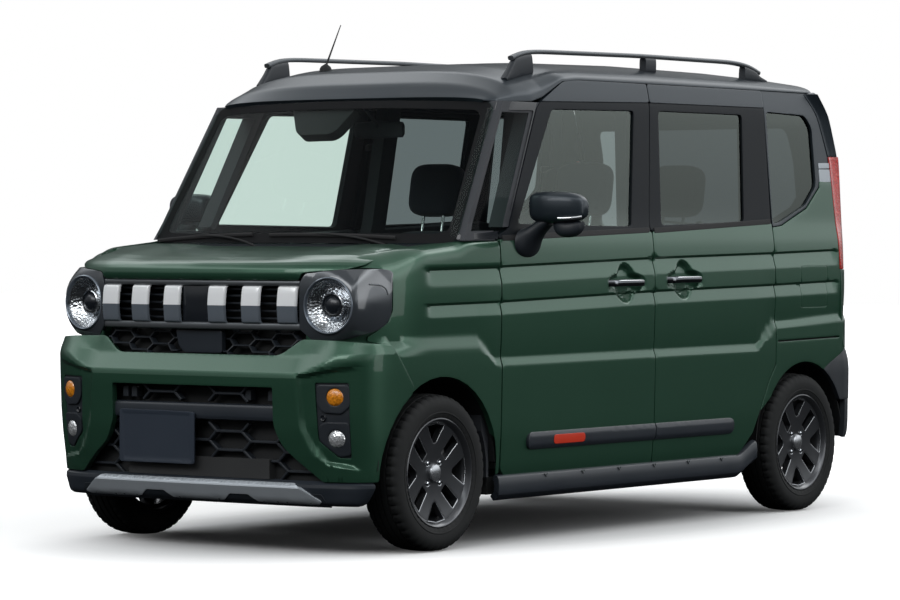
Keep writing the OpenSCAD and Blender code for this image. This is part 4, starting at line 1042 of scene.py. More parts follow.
pillar_loop = [(DOOR_Y - GAP - 2, 1094), (DOOR_Y - GAP, 1118), (FRAME_FOOT[0] - 10, 1144),
               (FRAME_HEAD[0] - 9, 1566), (FRAME_HEAD[0] + 2, 1588), (screen_edge(1588, -2), 1588),
               (screen_edge(1092, -2), 1092)]
quarter_glass_line = [(-789, 1556), (-556, 1560), (-790, 1124), (-1080, 1106)]
left_pillar = skin("front_pillar_left", on_side(pillar_loop, 4), pillar, np.arange(-1080, -500, 16.0),
                   np.arange(1090, 1600, 20.0), GLOSS_BLACK, SIDE, holes=[on_side(quarter_glass_line, 16)],
                   lip=1.2, depth=0.5)
opposite(left_pillar)
quarter_glass = skin("quarter_glass_left", on_side(grown(quarter_glass_line, 6), 16),
                     lambda y, h: (pillar(y, h)[0] - 6, y, pillar(y, h)[2]), np.arange(-1080, -500, 30.0),
                     np.arange(1090, 1600, 30.0), QUARTER_GLASS, SIDE, lip=.5, depth=3)
opposite(quarter_glass)
print("pillar faces", len(left_pillar.data.polygons))

# %% [markdown]
# ## Bonnet
# The bonnet is almost flat, with a rounded front edge that stands over the grille. Its profile along the car
# is carried across on the nose's plan curve, so the front edge sweeps back to the headlamps.

# %% Bonnet
PROFILE_D = np.array([6, 1, 0, 4, 12, 26, 48, 96, 160, 240, 360, 480])
PROFILE_Z = np.array([952, 962, 975, 990, 1002, 1012, 1019, 1030, 1040, 1049, 1059, 1066])
PROFILE_S = np.concatenate([[0], np.cumsum(np.hypot(np.diff(PROFILE_D), np.diff(PROFILE_Z)))])
NOSE_X = np.array([0, 220, 438, 560, 640, 695, 724, 742])
NOSE_D = np.array([8, 18, 47, 92, 148, 225, 310, 420])
NOSE_GRID = np.arange(0, 742, 3.0)
nose_both = np.concatenate([-NOSE_X[:0:-1], NOSE_X]), np.concatenate([NOSE_D[:0:-1], NOSE_D])
nose_raw = np.interp(np.concatenate([-np.arange(120, 0, -3.0), np.arange(0, 864, 3.0)]), *nose_both)
smooth_nose = np.convolve(nose_raw, bell(40, 3, 30.0), "same")[40:40 + len(NOSE_GRID)]


def nose_line(x):
    """Distance of the grille's plan behind the bumper's front."""
    return np.interp(np.abs(x), NOSE_X, NOSE_D)


def bonnet(x, s):
    size = np.abs(x)
    back = np.interp(size, NOSE_GRID, smooth_nose)
    d = np.interp(s, PROFILE_S, PROFILE_D)
    z = np.interp(s, PROFILE_S, PROFILE_Z)
    level = soft((s - 40) / 120)
    flatten = soft((s - 150) / 300)
    z = z + level * (9 * soft((size - 250) / 190) - 10 * soft((size - 540) / 120))
    return x, Y_FRONT + back * (1 - 0.5 * flatten) + d * (1 - back / 560 * flatten), z


S_END = float(PROFILE_S[-1])
LAMP_RISE = float(np.interp(990, PROFILE_Z, PROFILE_S))
bonnet_loop = [(-441, 0), (441, 0), (452, LAMP_RISE - 12), (600, LAMP_RISE + 2), (640, LAMP_RISE + 22),
               (646, S_END * .45), (646, S_END), (-646, S_END), (-646, S_END * .45), (-640, LAMP_RISE + 22),
               (-600, LAMP_RISE + 2), (-452, LAMP_RISE - 12)]
bonnet_rows = merged(np.arange(0, 150, 5.0), np.arange(150, S_END, 18))
bonnet_skin = skin("bonnet_skin", rounded(bonnet_loop, 12), bonnet, np.linspace(-645, 645, 61), bonnet_rows,
                   GREEN, (0, -.4, 1), body="bonnet", depth=16)
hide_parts("bonnet")
print("bonnet ends at", round(float(bonnet(np.array([0.0]), np.array([S_END]))[1][0])))

# %% [markdown]
# ## Front bumper
# The bumper is one moulding that runs round the corner: a bright crest along its upper edge, an upright face
# with the lower opening, and a recess on each side for the lamp pods. Its plan is a single curve, so the
# surface is given by the length along that curve and the height, with a setback that depends on the height.

# %% Bumper surface
PLAN_X = np.array([0, 250, 460, 565, 634, 682, 714, 732, 738, 738])
PLAN_D = np.array([0, 1.5, 6, 20, 42, 76, 128, 206, 300, 900])
plan_run = np.concatenate([[0], np.cumsum(np.hypot(np.diff(PLAN_X), np.diff(PLAN_D)))])
run = np.arange(-150.0, plan_run[-1], 3.0)
plan_bell = bell(30, 3, 30.0)
plan_x = np.convolve(np.interp(np.abs(run), plan_run, PLAN_X) * np.sign(run), plan_bell, "same")
plan_d = np.convolve(np.interp(np.abs(run), plan_run, PLAN_D), plan_bell, "same")
run, plan_x, plan_d = run[:-40], plan_x[:-40], plan_d[:-40]
SETBACK_Z = [180, 262, 340, 430, 584, 616, 630, 690, 742]
SETBACK = [46, 34, 18, 6, 0, 0, 3, 40, 60]
RECESS = np.array([(462, 626), (472, 462), (508, 378), (566, 318), (700, 300), (700, 668)])


def plan(a):
    return np.interp(np.abs(a), run, plan_x) * np.sign(a), np.interp(np.abs(a), run, plan_d)


def deep_in(a, z, loop):
    """Distance inside a convex outline, negative outside."""
    inward = np.full(np.shape(a), 1e9)
    middle = loop.mean(0)
    for p, q in zip(loop, np.roll(loop, -1, 0)):
        n = np.array([-(q - p)[1], (q - p)[0]]) / np.linalg.norm(q - p)
        n = n if (middle - p) @ n > 0 else -n
        inward = np.minimum(inward, (a - p[0]) * n[0] + (z - p[1]) * n[1])
    return inward


def bumper(a, z, back=0.0):
    x, d = plan(a)
    turn = soft((d - 40) / 120)
    near = np.interp(z - 62 * soft((np.abs(a) - 450) / 200), SETBACK_Z, SETBACK)
    far = side_inset(Y_FRONT + d, z)
    sunk = 15 * soft(deep_in(np.abs(a), z, RECESS) / 14) * (1 - soft((d - 90) / 60))
    depth = near * (1 - turn) + far * turn + sunk + back
    slant = soft((d - 10) / 150)
    return x - np.sign(a) * depth * slant, Y_FRONT + d + depth * (1 - 0.9 * slant), z


def run_at(d):
    """Length along the plan at a distance behind the face, on the corner."""
    return float(np.interp(d, plan_d[60:], run[60:]))


def arch_run(z, radius):
    return run_at(FRONT_AXLE_Y - math.sqrt(radius ** 2 - (z - AXLE_Z) ** 2) - Y_FRONT)


half_bumper = [(0, 690), (368, 690, 30), (446, 746, 14), (600, 744), (680, 740), (run_at(210), 729)]
half_bumper += [(run_at(262), 662), (run_at(322), 586)]
half_bumper += [(arch_run(z, FRONT_ARCH), z) for z in (560, 520, 480, 440, 400, 350, 300, 262)]
half_bumper += [(548, 262), (398, 382, 30), (366, 455, 20), (366, 584, 10), (0, 584)]
both_bumper = half_bumper[1:-1] + [(-p[0], *p[1:]) for p in half_bumper[-2:0:-1]]
POD = [(528, 603, 12), (664, 604, 12), (666, 340, 12), (608, 341, 10), (536, 400, 10)]
pod_line = rounded(POD, 10)
mirror_line = (pod_line * np.array([-1.0, 1.0]))[::-1]
across_run = merged(np.arange(-1000, 1000, 22.0), np.arange(-620, -440, 8.0), np.arange(440, 620, 8.0))
up_rows = merged(np.arange(262, 750, 22.0), np.arange(600, 700, 8.0), np.arange(296, 340, 7.0))
bumper_skin = skin("bumper_skin", rounded(both_bumper, 5), bumper, across_run, up_rows, GREEN, (0, -1, .1),
                   holes=[pod_line, mirror_line], lip=2.5, depth=22, step=14)
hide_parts("front_bumper")
print("bumper faces", len(bumper_skin.data.polygons))

# %% Lip and skid plate
def lip_skin(a, z, out=0.0):
    """The grey moulding below the bumper, with a bevel along its top."""
    x, y, _ = bumper(a, z)
    bevel = np.interp(z, [176, 184, 196, 236, 250, 262], [22, 6, 0, -8, -4, 14])
    _, d = plan(a)
    slant = soft((d - 10) / 150)
    return x - np.sign(a) * (bevel - out) * slant, y + (bevel - out) * (1 - 0.9 * slant), z


lip_end = arch_run(262, FRONT_ARCH + 14)
lip_runs = np.linspace(-lip_end, lip_end, 101)
lip_rows = np.array([176, 180, 184, 190, 196, 206, 220, 236, 241, 246, 250, 256, 262.0])
front_lip = lattice("front_lip_skin", lip_skin, lip_runs, lip_rows, SILL_GREY, (0, -1, 0), depth=16)
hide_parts("front_lip")
half_skid = [(0, 256), (436, 254, 8), (536, 190, 6), (520, 180, 4), (290, 180), (266, 184, 5),
             (232, 208, 6), (150, 208, 6), (116, 184, 5), (92, 180), (0, 180)]
skid_line = rounded(half_skid[1:-1] + [(-p[0], *p[1:]) for p in half_skid[-2:0:-1]], 3)
skid = skin("skid_plate_skin", skid_line,
            lambda a, z: lip_skin(a, z, 7.0 + np.interp(z, [180, 236, 248, 256], [-4, 3, 1, -7])),
            np.arange(-540, 540, 20.0), np.array([186, 196, 206, 216, 226, 236, 240, 244, 248, 252.0]),
            SATIN_SILVER, (0, -1, 0), lip=2.0, depth=9, step=14)
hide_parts("skid_plate")
skin("skid_notches", rounded([(-560, 172), (560, 172), (540, 216), (-540, 216)], 4),
     lambda a, z: lip_skin(a, z, 2.5), np.arange(-540, 540, 40.0), np.arange(180, 216, 12.0), PLASTIC,
     (0, -1, 0), lip=1.5, depth=8)
print("lip ends at run", round(lip_end))

# %% [markdown]
# ## Grille
# Six blocks stand between two trim bars, with thin slats behind them; their chrome is painted, a near-white
# painted highlight on the upper faces and a blue-grey painted shade on the lower ones. Above and below the
# crest are honeycombs of long hexagons. Each bar of a honeycomb is a small prism with a bevelled front,
# clipped to the opening; a texture would look flat at this size, and separate cells would waste faces.

# %% Bars and honeycombs
def join(name, parts, material):
    """One piece from many (verts, faces) lists."""
    verts, faces = [], []
    for part_verts, part_faces in parts:
        base = len(verts)
        verts.extend(part_verts)
        faces.extend(tuple(i + base for i in f) for f in part_faces)
    return piece(name, verts, faces, material)


def prism(section, a, b, up=(0, 0, 1)):
    """A closed bar from a to b. section is a list of (sideways, up) points."""
    a, b = np.array(a, float), np.array(b, float)
    along = (b - a) / np.linalg.norm(b - a)
    wide = np.cross(along, np.array(up, float))
    wide /= np.linalg.norm(wide)
    high = np.cross(wide, along)
    n = len(section)
    verts = [tuple(end + wide * s + high * h) for end in (a, b) for s, h in section]
    faces = [(i, (i + 1) % n, n + (i + 1) % n, n + i) for i in range(n)]
    return verts, faces + [tuple(range(n))[::-1], tuple(range(n, 2 * n))]


def honeycomb(name, low, high, pitch, tall, keep, depth_at, thick, deep, material, skip=lambda x, z: False):
    """Long hexagons with a flat top. keep(x, z) bounds the opening, depth_at(x, z) gives its face."""
    point = pitch * 0.24
    bars = []
    section = [(-deep, -thick), (-3, -thick), (0, -thick * .45), (0, thick * .45), (-3, thick),
               (-deep, thick)]
    columns_across = int((high[0] - low[0]) / pitch) + 2
    for c in range(columns_across):
        x0 = low[0] + c * pitch
        shift = 0.5 * tall if c % 2 else 0.0
        for r in range(int((high[1] - low[1]) / tall) + 2):
            z0 = low[1] + r * tall + shift
            left, right = (x0 + point, z0), (x0 + pitch, z0)
            ends = [(left, right), (right, (x0 + pitch + point, z0 + tall / 2)),
                    (right, (x0 + pitch + point, z0 - tall / 2))]
            for p, q in ends:
                along = [(p[0] + (q[0] - p[0]) * t, p[1] + (q[1] - p[1]) * t) for t in np.linspace(0, 1, 13)]
                kept = [place for place in along if keep(*place) and not skip(*place)]
                if len(kept) < 3:
                    continue
                a, b = kept[0], kept[-1]
                bars.append(prism([(h, s) for s, h in section], (a[0], depth_at(*a), a[1]),
                                  (b[0], depth_at(*b), b[1]), up=(0, -1, 0)))
    return join(name, bars, material)


def plan_back(x):
    """Distance of the bumper's plan behind its front."""
    return np.interp(np.abs(x), plan_x[50:], plan_d[50:])


def front_y(x, z, back):
    return float(Y_FRONT + plan_back(x) + np.interp(z, SETBACK_Z + [780, 990], SETBACK + [62, 62]) + back)


def in_lower(x, z):
    edge = np.interp(z, [250, 382, 455, 584], [552, 398, 366, 366]) + 8
    return abs(x) < edge and 246 < z < 592


def in_upper(x, z):
    return abs(x) < np.interp(z, [684, 750, 784], [374, 452, 452]) and 682 < z < 786


lower_comb = honeycomb("lower_honeycomb", (-700, 258), (600, 640), 150, 66, in_lower,
                       lambda x, z: front_y(x, z, 30), 5, 26, PLASTIC, skip=lambda x, z: 455 < z < 526)
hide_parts("lower_grille")
upper_comb = honeycomb("upper_honeycomb", (-520, 700), (470, 790), 92, 44, in_upper,
                       lambda x, z: front_y(x, z, 8), 3.6, 26, PLASTIC, skip=lambda x, z: abs(x - 5) < 100)


def back_sheet(name, low, high, back, material):
    return lattice(name, lambda x, z: (x, Y_FRONT + plan_back(x) + back, z),
                   np.linspace(-high[0], high[0], 25), np.linspace(low, high[1], 7), material, (0, -1, 0),
                   depth=3)


back_sheet("lower_shroud", 236, (540, 600), 78, BLACK_MATT)
back_sheet("upper_shroud", 676, (460, 985), 106, BLACK_MATT)
print("honeycomb bars", len(lower_comb.data.polygons) // 8, len(upper_comb.data.polygons) // 8)

# %% Trim bars, blocks and slats
def across_bar(name, low, high, reach, proud, material):
    """A bar that follows the nose from side to side, with a crowned face."""
    zs = np.array([low, low + 2.5, low + 6, 0.5 * (low + high), high - 6, high - 2.5, high])
    bulge = np.array([7, 2.2, 0.6, 0, 0.6, 2.2, 7])
    return lattice(name, lambda x, z: (x, Y_FRONT + nose_line(x) - proud + np.interp(z, zs, bulge), z),
                   np.linspace(-reach, reach, 41), zs, material, (0, -1, 0), lip=1.0, depth=24)


upper_bar = across_bar("grille_upper_bar", 930, 951, 442, -8, TRIM_GREY)
across_bar("grille_lower_bar", 778, 803, 448, -8, TRIM_GREY)
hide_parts("grille_frame")
slat_parts = []
SLAT = [(-16, -4), (0, -5), (3, -2), (3, 1), (0, 3), (-16, 3)]
for slat_z in (818, 844, 870, 896, 920):
    for x0 in np.arange(-440, 440, 40.0):
        ends = [(x, Y_FRONT + float(nose_line(x)) + 38, slat_z) for x in (x0, x0 + 40)]
        slat_parts.append(prism(SLAT, *ends))
join("grille_slats", slat_parts, PLASTIC)
BLOCK_SPANS = [(-449, -362), (-294, -207), (-135, -56), (68, 145), (213, 289), (357, 436)]
BLOCK_Z = np.array([800, 803, 808, 826, 858, 862, 866, 900, 922, 927, 930.0])
BLOCK_BACK = np.array([16, 8, 5, 2.5, 0, -.6, 0, 3, 7, 10, 17.0])
for number, (x0, x1) in enumerate(BLOCK_SPANS):
    xs = np.concatenate([[x0, x0 + 2, x0 + 5], np.linspace(x0 + 9, x1 - 9, 5), [x1 - 5, x1 - 2, x1]])
    round_in = np.array([10, 3.5, .8, 0, 0, 0, 0, 0, .8, 3.5, 10])
    block = lattice(f"grille_block_{number + 1}", lambda x, z, xs=xs, round_in=round_in: (
        x, Y_FRONT + nose_line(x) - 4 + np.interp(z, BLOCK_Z, BLOCK_BACK) + np.interp(x, xs, round_in), z),
        xs, BLOCK_Z, PAINTED_HIGHLIGHT_CHROME, (0, -1, 0), lip=.6, depth=28)
    # painted light and shade: faces above the crest at 862 mm keep the near-white painted highlight, faces
    # below it get the darker blue-grey
    block.data.materials.append(STEEL_BLUE)
    for face in block.data.polygons:
        if face.center.z < 0.862:
            face.material_index = 1
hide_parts("grille_blocks")
lattice("grille_centre_plate",
        lambda x, z: (x, Y_FRONT + 30 - 9 * np.exp(-(((x - 5) / 62) ** 4) - ((z - 864) / 66) ** 4), z),
        np.linspace(-52, 62, 25), np.linspace(803, 929, 25), GLOSS_BLACK, (0, -1, 0), depth=20)
sensor_line = rounded([(-96, 771, 8), (107, 771, 8), (104, 697, 8), (-66, 697, 14), (-88, 722, 10)], 6)
skin("sensor_plate", sensor_line, lambda x, z: (x, Y_FRONT + 44 + 0 * x - (z - 734) * .06, z),
     np.arange(-90, 106, 14.0), np.arange(700, 770, 12.0), SILL_GREY, (0, -1, 0), lip=3, depth=18)

# %% Cross bar and number plate
CROSS_Z = [462, 466, 478, 508, 516, 520]
CROSS_BACK = [14, 4, 0, 1, 5, 16]
lattice("lower_cross_bar", lambda x, z: (x, Y_FRONT + plan_back(x) + 16 + np.interp(z, CROSS_Z, CROSS_BACK),
                                         z), np.linspace(-368, 368, 33),
        np.array([462, 464, 466, 472, 478, 493, 508, 512, 516, 518, 520.0]), SILL_GREY, (0, -1, 0),
        depth=30)
plate_line = rounded([(-327, 490, 9), (14, 486, 9), (6, 306, 9), (-335, 306, 9)], 9)
plate = skin("number_plate", plate_line,
             lambda x, z: (x,
                           Y_FRONT + 6
                           - 2.5 * soft((np.maximum(np.abs(x + 160) - 150, np.abs(z - 397) - 78)) / 8)
                           + (490 - z) * .05, z),
             merged(np.arange(-330, 12, 20.0), [-318, -314, -322, 0, 4, -4]),
             merged(np.arange(310, 488, 18.0), [314, 318, 476, 480]), PLATE_BLUE, (0, -1, 0), lip=1.5,
             depth=5)
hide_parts("front_plate")
bracket_parts = []
for x in (-330, -290, 230, 330):
    bracket_parts.append(prism([(-12, -18), (12, -18), (12, 14), (6, 18), (-6, 18), (-12, 14)],
                               (x, Y_FRONT + 40, 552), (x, Y_FRONT + 70, 552)))
join("opening_brackets", bracket_parts, PLASTIC)
print("plate blank, faces", len(plate.data.polygons))

# %% [markdown]
# ## Headlamps and lamp pods
# A round lamp stands in a smoked shell that wraps the corner. The shell is a skin on the nose's plan, pulled
# forward round the lamp. Ring, bowl, projector and dome are turned about the lamp's axis like work on a
# lathe, and the bowl's rings are pushed in and out by turns to make facets.

# %% Turned and swept pieces
def turned(name, profile, place, axis, material, around=64, body="body", smooth=35, facet=0.0, tooth=None):
    """A piece turned about an axis. profile is (radius, place on the axis); tooth(k, i) adds to a radius."""
    axis = Vector(axis).normalized()
    side_dir = axis.orthogonal().normalized()
    up_dir = axis.cross(side_dir)
    verts, faces = [], []
    for k in range(around):
        angle = 2 * math.pi * k / around
        ray = side_dir * math.cos(angle) + up_dir * math.sin(angle)
        for i, (radius, along) in enumerate(profile):
            push = facet * (1 if (k + i) % 2 else -1) if 0 < i < len(profile) - 1 else 0.0
            grown_r = radius + (tooth(k, i) if tooth else 0.0)
            verts.append(tuple(Vector(place) + ray * grown_r + axis * (along + push)))
    n = len(profile)
    for k in range(around):
        j = (k + 1) % around
        faces.extend((k * n + i, j * n + i, j * n + i + 1, k * n + i + 1) for i in range(n - 1))
    return outward(piece(name, verts, faces, material, body, smooth), 1e-6)


def sweep(name, path, sizes, material, body="body", power=2.6, around=20, up=(0, 0, 1), smooth=40):
    """A closed bar along a path. sizes are (half width, half height) of each point; power squares it."""
    path = [Vector(p) for p in path]
    verts = []
    for i, place in enumerate(path):
        along = (path[min(i + 1, len(path) - 1)] - path[max(i - 1, 0)]).normalized()
        wide = along.cross(Vector(up)).normalized()
        high = wide.cross(along)
        for k in range(around):
            t = 2 * math.pi * k / around
            w = squared(math.cos(t), power) * sizes[i][0]
            h = squared(math.sin(t), power) * sizes[i][1]
            verts.append(tuple(place + wide * w + high * h))
    return outward(piece(name, verts, capped(len(path), around), material, body, smooth))


def curve(points, count=40):
    """Smooth path through a few points."""
    points = np.array(points, float)
    t = np.concatenate([[0], np.cumsum(np.linalg.norm(np.diff(points, axis=0), axis=1))])
    fine = np.linspace(0, t[-1], count)
    raw = np.stack([np.interp(fine, t, points[:, k]) for k in range(points.shape[1])], 1)
    ends = raw[[0, -1]].copy()
    for _ in range(6):
        raw[1:-1] = 0.25 * raw[:-2] + 0.5 * raw[1:-1] + 0.25 * raw[2:]
    raw[0], raw[-1] = ends
    return raw


# %% Headlamp shell
nose_run = np.concatenate([[0], np.cumsum(np.hypot(np.diff(NOSE_X), np.diff(NOSE_D)))])
nose_fine = np.arange(0.0, nose_run[-1], 3.0)
nose_x = np.interp(nose_fine, nose_run, NOSE_X)
nose_d = np.interp(nose_x, NOSE_GRID, smooth_nose)
LAMP = (556, 865)
LAMP_R = 96


def nose_at(x):
    return float(np.interp(x, nose_x, nose_fine))


def nose_behind(d):
    return float(np.interp(d, nose_d, nose_fine))


def lamp_shell(a, z):
    """Shell's face by the length round the nose: it rises from the corner's plan to the lamp's ring."""
    x = np.interp(a, nose_fine, nose_x)
    d = np.interp(a, nose_fine, nose_d)
    outer = LAMP[0] + LAMP_R
    run_x = np.where(x > outer, outer + a - nose_at(outer), x)
    far = soft((np.hypot(run_x - LAMP[0], z - LAMP[1]) - LAMP_R) / 84)
    ring_d = np.minimum(d, 72 + (x - LAMP[0]) * 0.12)
    return x, Y_FRONT + ring_d + (d - ring_d) * far + 12 * np.abs((z - 866) / 124) ** 4, z


shell_line = [(nose_at(447), 938, 8), (nose_at(463), 976, 18), (nose_at(600), 988, 20),
              (nose_behind(200), 990, 20), (nose_behind(250), 984, 52), (nose_behind(251), 845, 40),
              (nose_behind(236), 802, 20), (nose_behind(200), 774, 30), (nose_at(600), 746, 40),
              (nose_at(486), 745, 8), (nose_at(447), 784, 6)]
ring_hole = [(nose_at(LAMP[0] + LAMP_R * math.cos(t)), LAMP[1] + LAMP_R * math.sin(t))
             for t in np.linspace(0, 2 * math.pi, 49)[:-1]]
shell = skin("headlamp_shell_left", rounded(shell_line, 6), lamp_shell, np.arange(440, 900, 10.0),
             np.arange(745, 992, 10.0), LAMP_SHELL, (.5, -1, 0), holes=[ring_hole], lip=1.5, depth=14,
             step=10)
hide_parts("headlamps")
opposite(shell)
print("shell faces", len(shell.data.polygons))

# %% Lamp optics
under_a = [nose_at(447), nose_at(486), nose_at(600), nose_behind(200), nose_behind(236), nose_behind(254)]
under_z = [790, 752, 752, 780, 808, 860]


def lamp_under(a, t):
    """Painted ledge that closes the gap between the lamp's shell and the bumper."""
    z = 724 + (np.interp(a, under_a, under_z) - 724) * t
    return np.interp(a, nose_fine, nose_x) - 5, Y_FRONT + np.interp(a, nose_fine, nose_d) + 9, z


ledge = lattice("lamp_ledge_left", lamp_under, np.linspace(nose_at(470), nose_behind(252), 30),
                np.linspace(0, 1, 7), GREEN, (.4, -1, 0), depth=5)
opposite(ledge)
AIM = (math.sin(math.radians(7)), -math.cos(math.radians(7)), 0)
lamp_place = (LAMP[0], Y_FRONT + 72, LAMP[1])
OPTICS = [
    ("ring", STEEL_BLUE, {"around": 72},
     [(98, -44), (98.5, -2), (97.5, 3), (95, 5), (92.5, 3), (91.5, -6), (89, -16)]),
    ("bowl", REFLECTOR, {"around": 40, "smooth": 0, "facet": 1.6},
     [(91, -10), (84, -18), (74, -27), (64, -34), (55, -40), (48, -45), (42, -49)]),
    ("collar", CHROME, {}, [(43, -52), (45, -34), (43, -27), (40, -25), (37, -29), (36, -40)]),
    ("projector", GLOSS_BLACK, {}, [(37, -40), (34, -30), (27, -23), (17, -18), (7, -16), (0.001, -15.6)]),
    ("lens", LENS, {}, [(92, -2), (88, 4), (76, 10), (56, 14), (32, 16.5), (10, 17.4), (0.001, 17.5)]),
]
optics = [turned(f"headlamp_{label}_left", profile, lamp_place, AIM, material, **more)
          for label, material, more, profile in OPTICS]
for made in optics:
    opposite(made)
MARKER_AT = [(196, 938), (218, 936), (234, 924), (240, 902)]
marker_path = curve([lamp_shell(nose_behind(d), z) for d, z in MARKER_AT], 16)
marker = sweep("headlamp_marker_left", marker_path, [(2.2, 3.0)] * 16, TRIM_GREY)
opposite(marker)
print("optics", len(optics))

# %% Lamp pods
AMBER_AT, FOG_AT, DOT_AT = (606, 553), (606, 411), (558, 481)
AMBER_FRAME = [(542, 592), (660, 592), (663, 524), (630, 498), (561, 502), (540, 530)]
FOG_FRAME = [(544, 450), (568, 464), (658, 463), (660, 356), (612, 349), (545, 404)]


def ring_line(centre, radius, count=28):
    return np.array([(centre[0] + radius * math.cos(t), centre[1] + radius * math.sin(t))
                     for t in np.linspace(0, 2 * math.pi, count + 1)[:-1]])


def pod_face(lift):
    return lambda a, z: bumper(a, z, 6.0 - lift)


pod_plate = skin("pod_plate_left", pod_line * .994 + np.array([3.6, 2.8]), pod_face(0),
                 np.arange(530, 668, 9.0), np.arange(342, 604, 9.0), PLASTIC, (.3, -1, 0), lip=2, depth=14,
                 step=9)
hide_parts("lamp_pods")
pod_made = [pod_plate]
for label, line, centre, glow in (("amber", AMBER_FRAME, AMBER_AT, AMBER), ("fog", FOG_FRAME, FOG_AT, FOG)):
    pod_made.append(skin(f"pod_{label}_frame_left", rounded(line, 12), pod_face(9),
                         np.arange(540, 665, 8.0), np.arange(350, 596, 8.0), PLASTIC, (.3, -1, 0),
                         holes=[ring_line(centre, 33)], lip=3, depth=10, step=7))
    at = spot(bumper, *centre, 2.0)
    pod_made.append(turned(f"pod_{label}_lens_left",
                           [(33, -8), (32, 0), (28, 5), (20, 9), (10, 11), (0.001, 11.5)], at, (.28, -1, 0),
                           glow, around=32))
dot = spot(bumper, *DOT_AT, 5.0)
pod_made.append(turned("pod_sensor_left", [(11, -4), (11, 3), (9, 5), (7, 4), (5, 1), (0.001, 1)], dot,
                       (.15, -1, 0), GLOSS_BLACK, around=24))
for made in pod_made:
    opposite(made)
print("pod pieces", len(pod_made))

# %% [markdown]
# ## Along the sides
# Sill cladding, mouldings, handles, mirrors and roof rails all sit on the side's own surface, so they take
# their place from its formula. Bars are swept along a path with a squared section that changes on the way.

# %% Sill cladding and mouldings
SILL_FRONT, SILL_REAR = FRONT_AXLE_Y + 344, C_Y - 262


def sill(y, z):
    flat = np.interp(z, [160, 173, 182, 214, 238, 247, 252], [26, 10, 2, 0, 3, 9, 22])
    x = HALF_W - 6 - flat - 5 * ((y - 100) / 1500) ** 2 - 9 * soft((y - SILL_REAR + 60) / 120)
    return x, y, z + 50 * soft((y - SILL_REAR) / 150)


sill_rows = np.array([160, 167, 173, 178, 182, 198, 214, 226, 238, 243, 247, 252.0])
sill_left = lattice("sill_left", sill,
                    np.concatenate([np.linspace(SILL_FRONT, SILL_REAR, 50),
                                    np.linspace(SILL_REAR + 10, C_Y - 124, 14)]), sill_rows, SILL_GREY,
                    (1, 0, 0), depth=20)
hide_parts("sill_cladding")
opposite(sill_left)
ticks = []
for y in np.linspace(-560, 640, 6):
    x = float(sill(np.array(y), np.array(238.0))[0]) + 1.0
    for lean_by in (-9, 9):
        ticks.append(prism([(-2, -2), (2, -2), (2, 2), (-2, 2)], (x, y + lean_by, 243), (x + 1.5, y, 232),
                           up=(1, 0, 0)))
tick_left = join("sill_ticks_left", ticks, TRIM_GREY)
opposite(tick_left)


def moulding(y, h):
    x, y, z = side(y, h)
    edge = np.maximum(np.abs(z - 365.5) / 30.5, 0)
    return x + 12 - 7 * np.minimum(edge, 1.2) ** 4, y, z


for label, y0, y1, body in (("front", -682, B_Y - GAP, "front_door"), ("rear", B_Y + GAP, 714, "body")):
    front_r, rear_r = (28, 2) if label == "front" else (2, 28)
    line = [(y0, 335, front_r), (y1, 335, rear_r), (y1, 396, rear_r), (y0, 396, front_r)]
    strip = skin(f"side_moulding_{label}_left", on_side(line, 2), moulding, np.arange(y0, y1, 24.0),
                 np.arange(336, 398, 6.0), SILL_GREY, SIDE, lip=2, depth=12,
                 body="front_door_left" if body == "front_door" else "body")
    opposite(strip, "front_door_right" if body == "front_door" else "body")
accent = skin("accent_left", on_side([(-525, 350, 15), (-326, 350, 15), (-326, 382, 15), (-525, 382, 15)],
                                     15), lambda y, h: (moulding(y, h)[0] + 2.0, y, moulding(y, h)[2]),
              np.arange(-520, -330, 16.0), np.arange(352, 382, 6.0), ACCENT, SIDE, lip=1, depth=3,
              body="front_door_left")
opposite(accent, "front_door_right")
print("sill and mouldings made")

# %% Handles
DARK_CHROME = finish("dark_chrome", (.16, .17, .185), 0.14, metallic=1.0, tint=(.20, .21, .225), speck=.05)
for label, (y, z), body_left, body_right in (("front", FRONT_HANDLE, "front_door_left", "front_door_right"),
                                             ("rear", REAR_HANDLE, "body", "body")):
    x = float(side(np.array(y - 150.0), side_h(np.array(y - 150.0), np.array(z + 0.0)))[0])
    path = curve([(x - 10, y - 116, z), (x + 12, y - 98, z), (x + 19, y - 60, z + 1), (x + 20, y, z + 1),
                  (x + 19, y + 60, z + 1), (x + 12, y + 98, z), (x - 10, y + 116, z)], 30)
    bar = sweep(f"handle_{label}_left", path, [(8, 13)] * 30, DARK_CHROME, body_left)
    trim = sweep(f"handle_edge_{label}_left", [(p[0] + 6.6, p[1], p[2] + 8) for p in path[5:25]],
                 [(1.6, 2.6)] * 20, CHROME, body_left)
    for made in (bar, trim):
        opposite(made, body_right)
print("handles made")

# %% Mirrors
def loft(name, sections, material, body, power=3.2, around=28):
    """Closed form through sections across the car: (x, y middle, z middle, half length, half height)."""
    verts = []
    for x, y, z, long, tall in sections:
        for k in range(around):
            t = 2 * math.pi * k / around
            verts.append((x, y + squared(math.cos(t), power) * long, z + squared(math.sin(t), power) * tall))
    return outward(piece(name, verts, capped(len(sections), around), material, body, 45))


def eased(rows_of, count):
    """Sections between a few given ones, with smooth change."""
    rows_of = np.array(rows_of, float)
    t = np.linspace(0, len(rows_of) - 1, count)
    raw = np.stack([np.interp(t, np.arange(len(rows_of)), rows_of[:, k]) for k in range(rows_of.shape[1])], 1)
    for _ in range(3):
        raw[1:-1] = 0.25 * raw[:-2] + 0.5 * raw[1:-1] + 0.25 * raw[2:]
    return raw


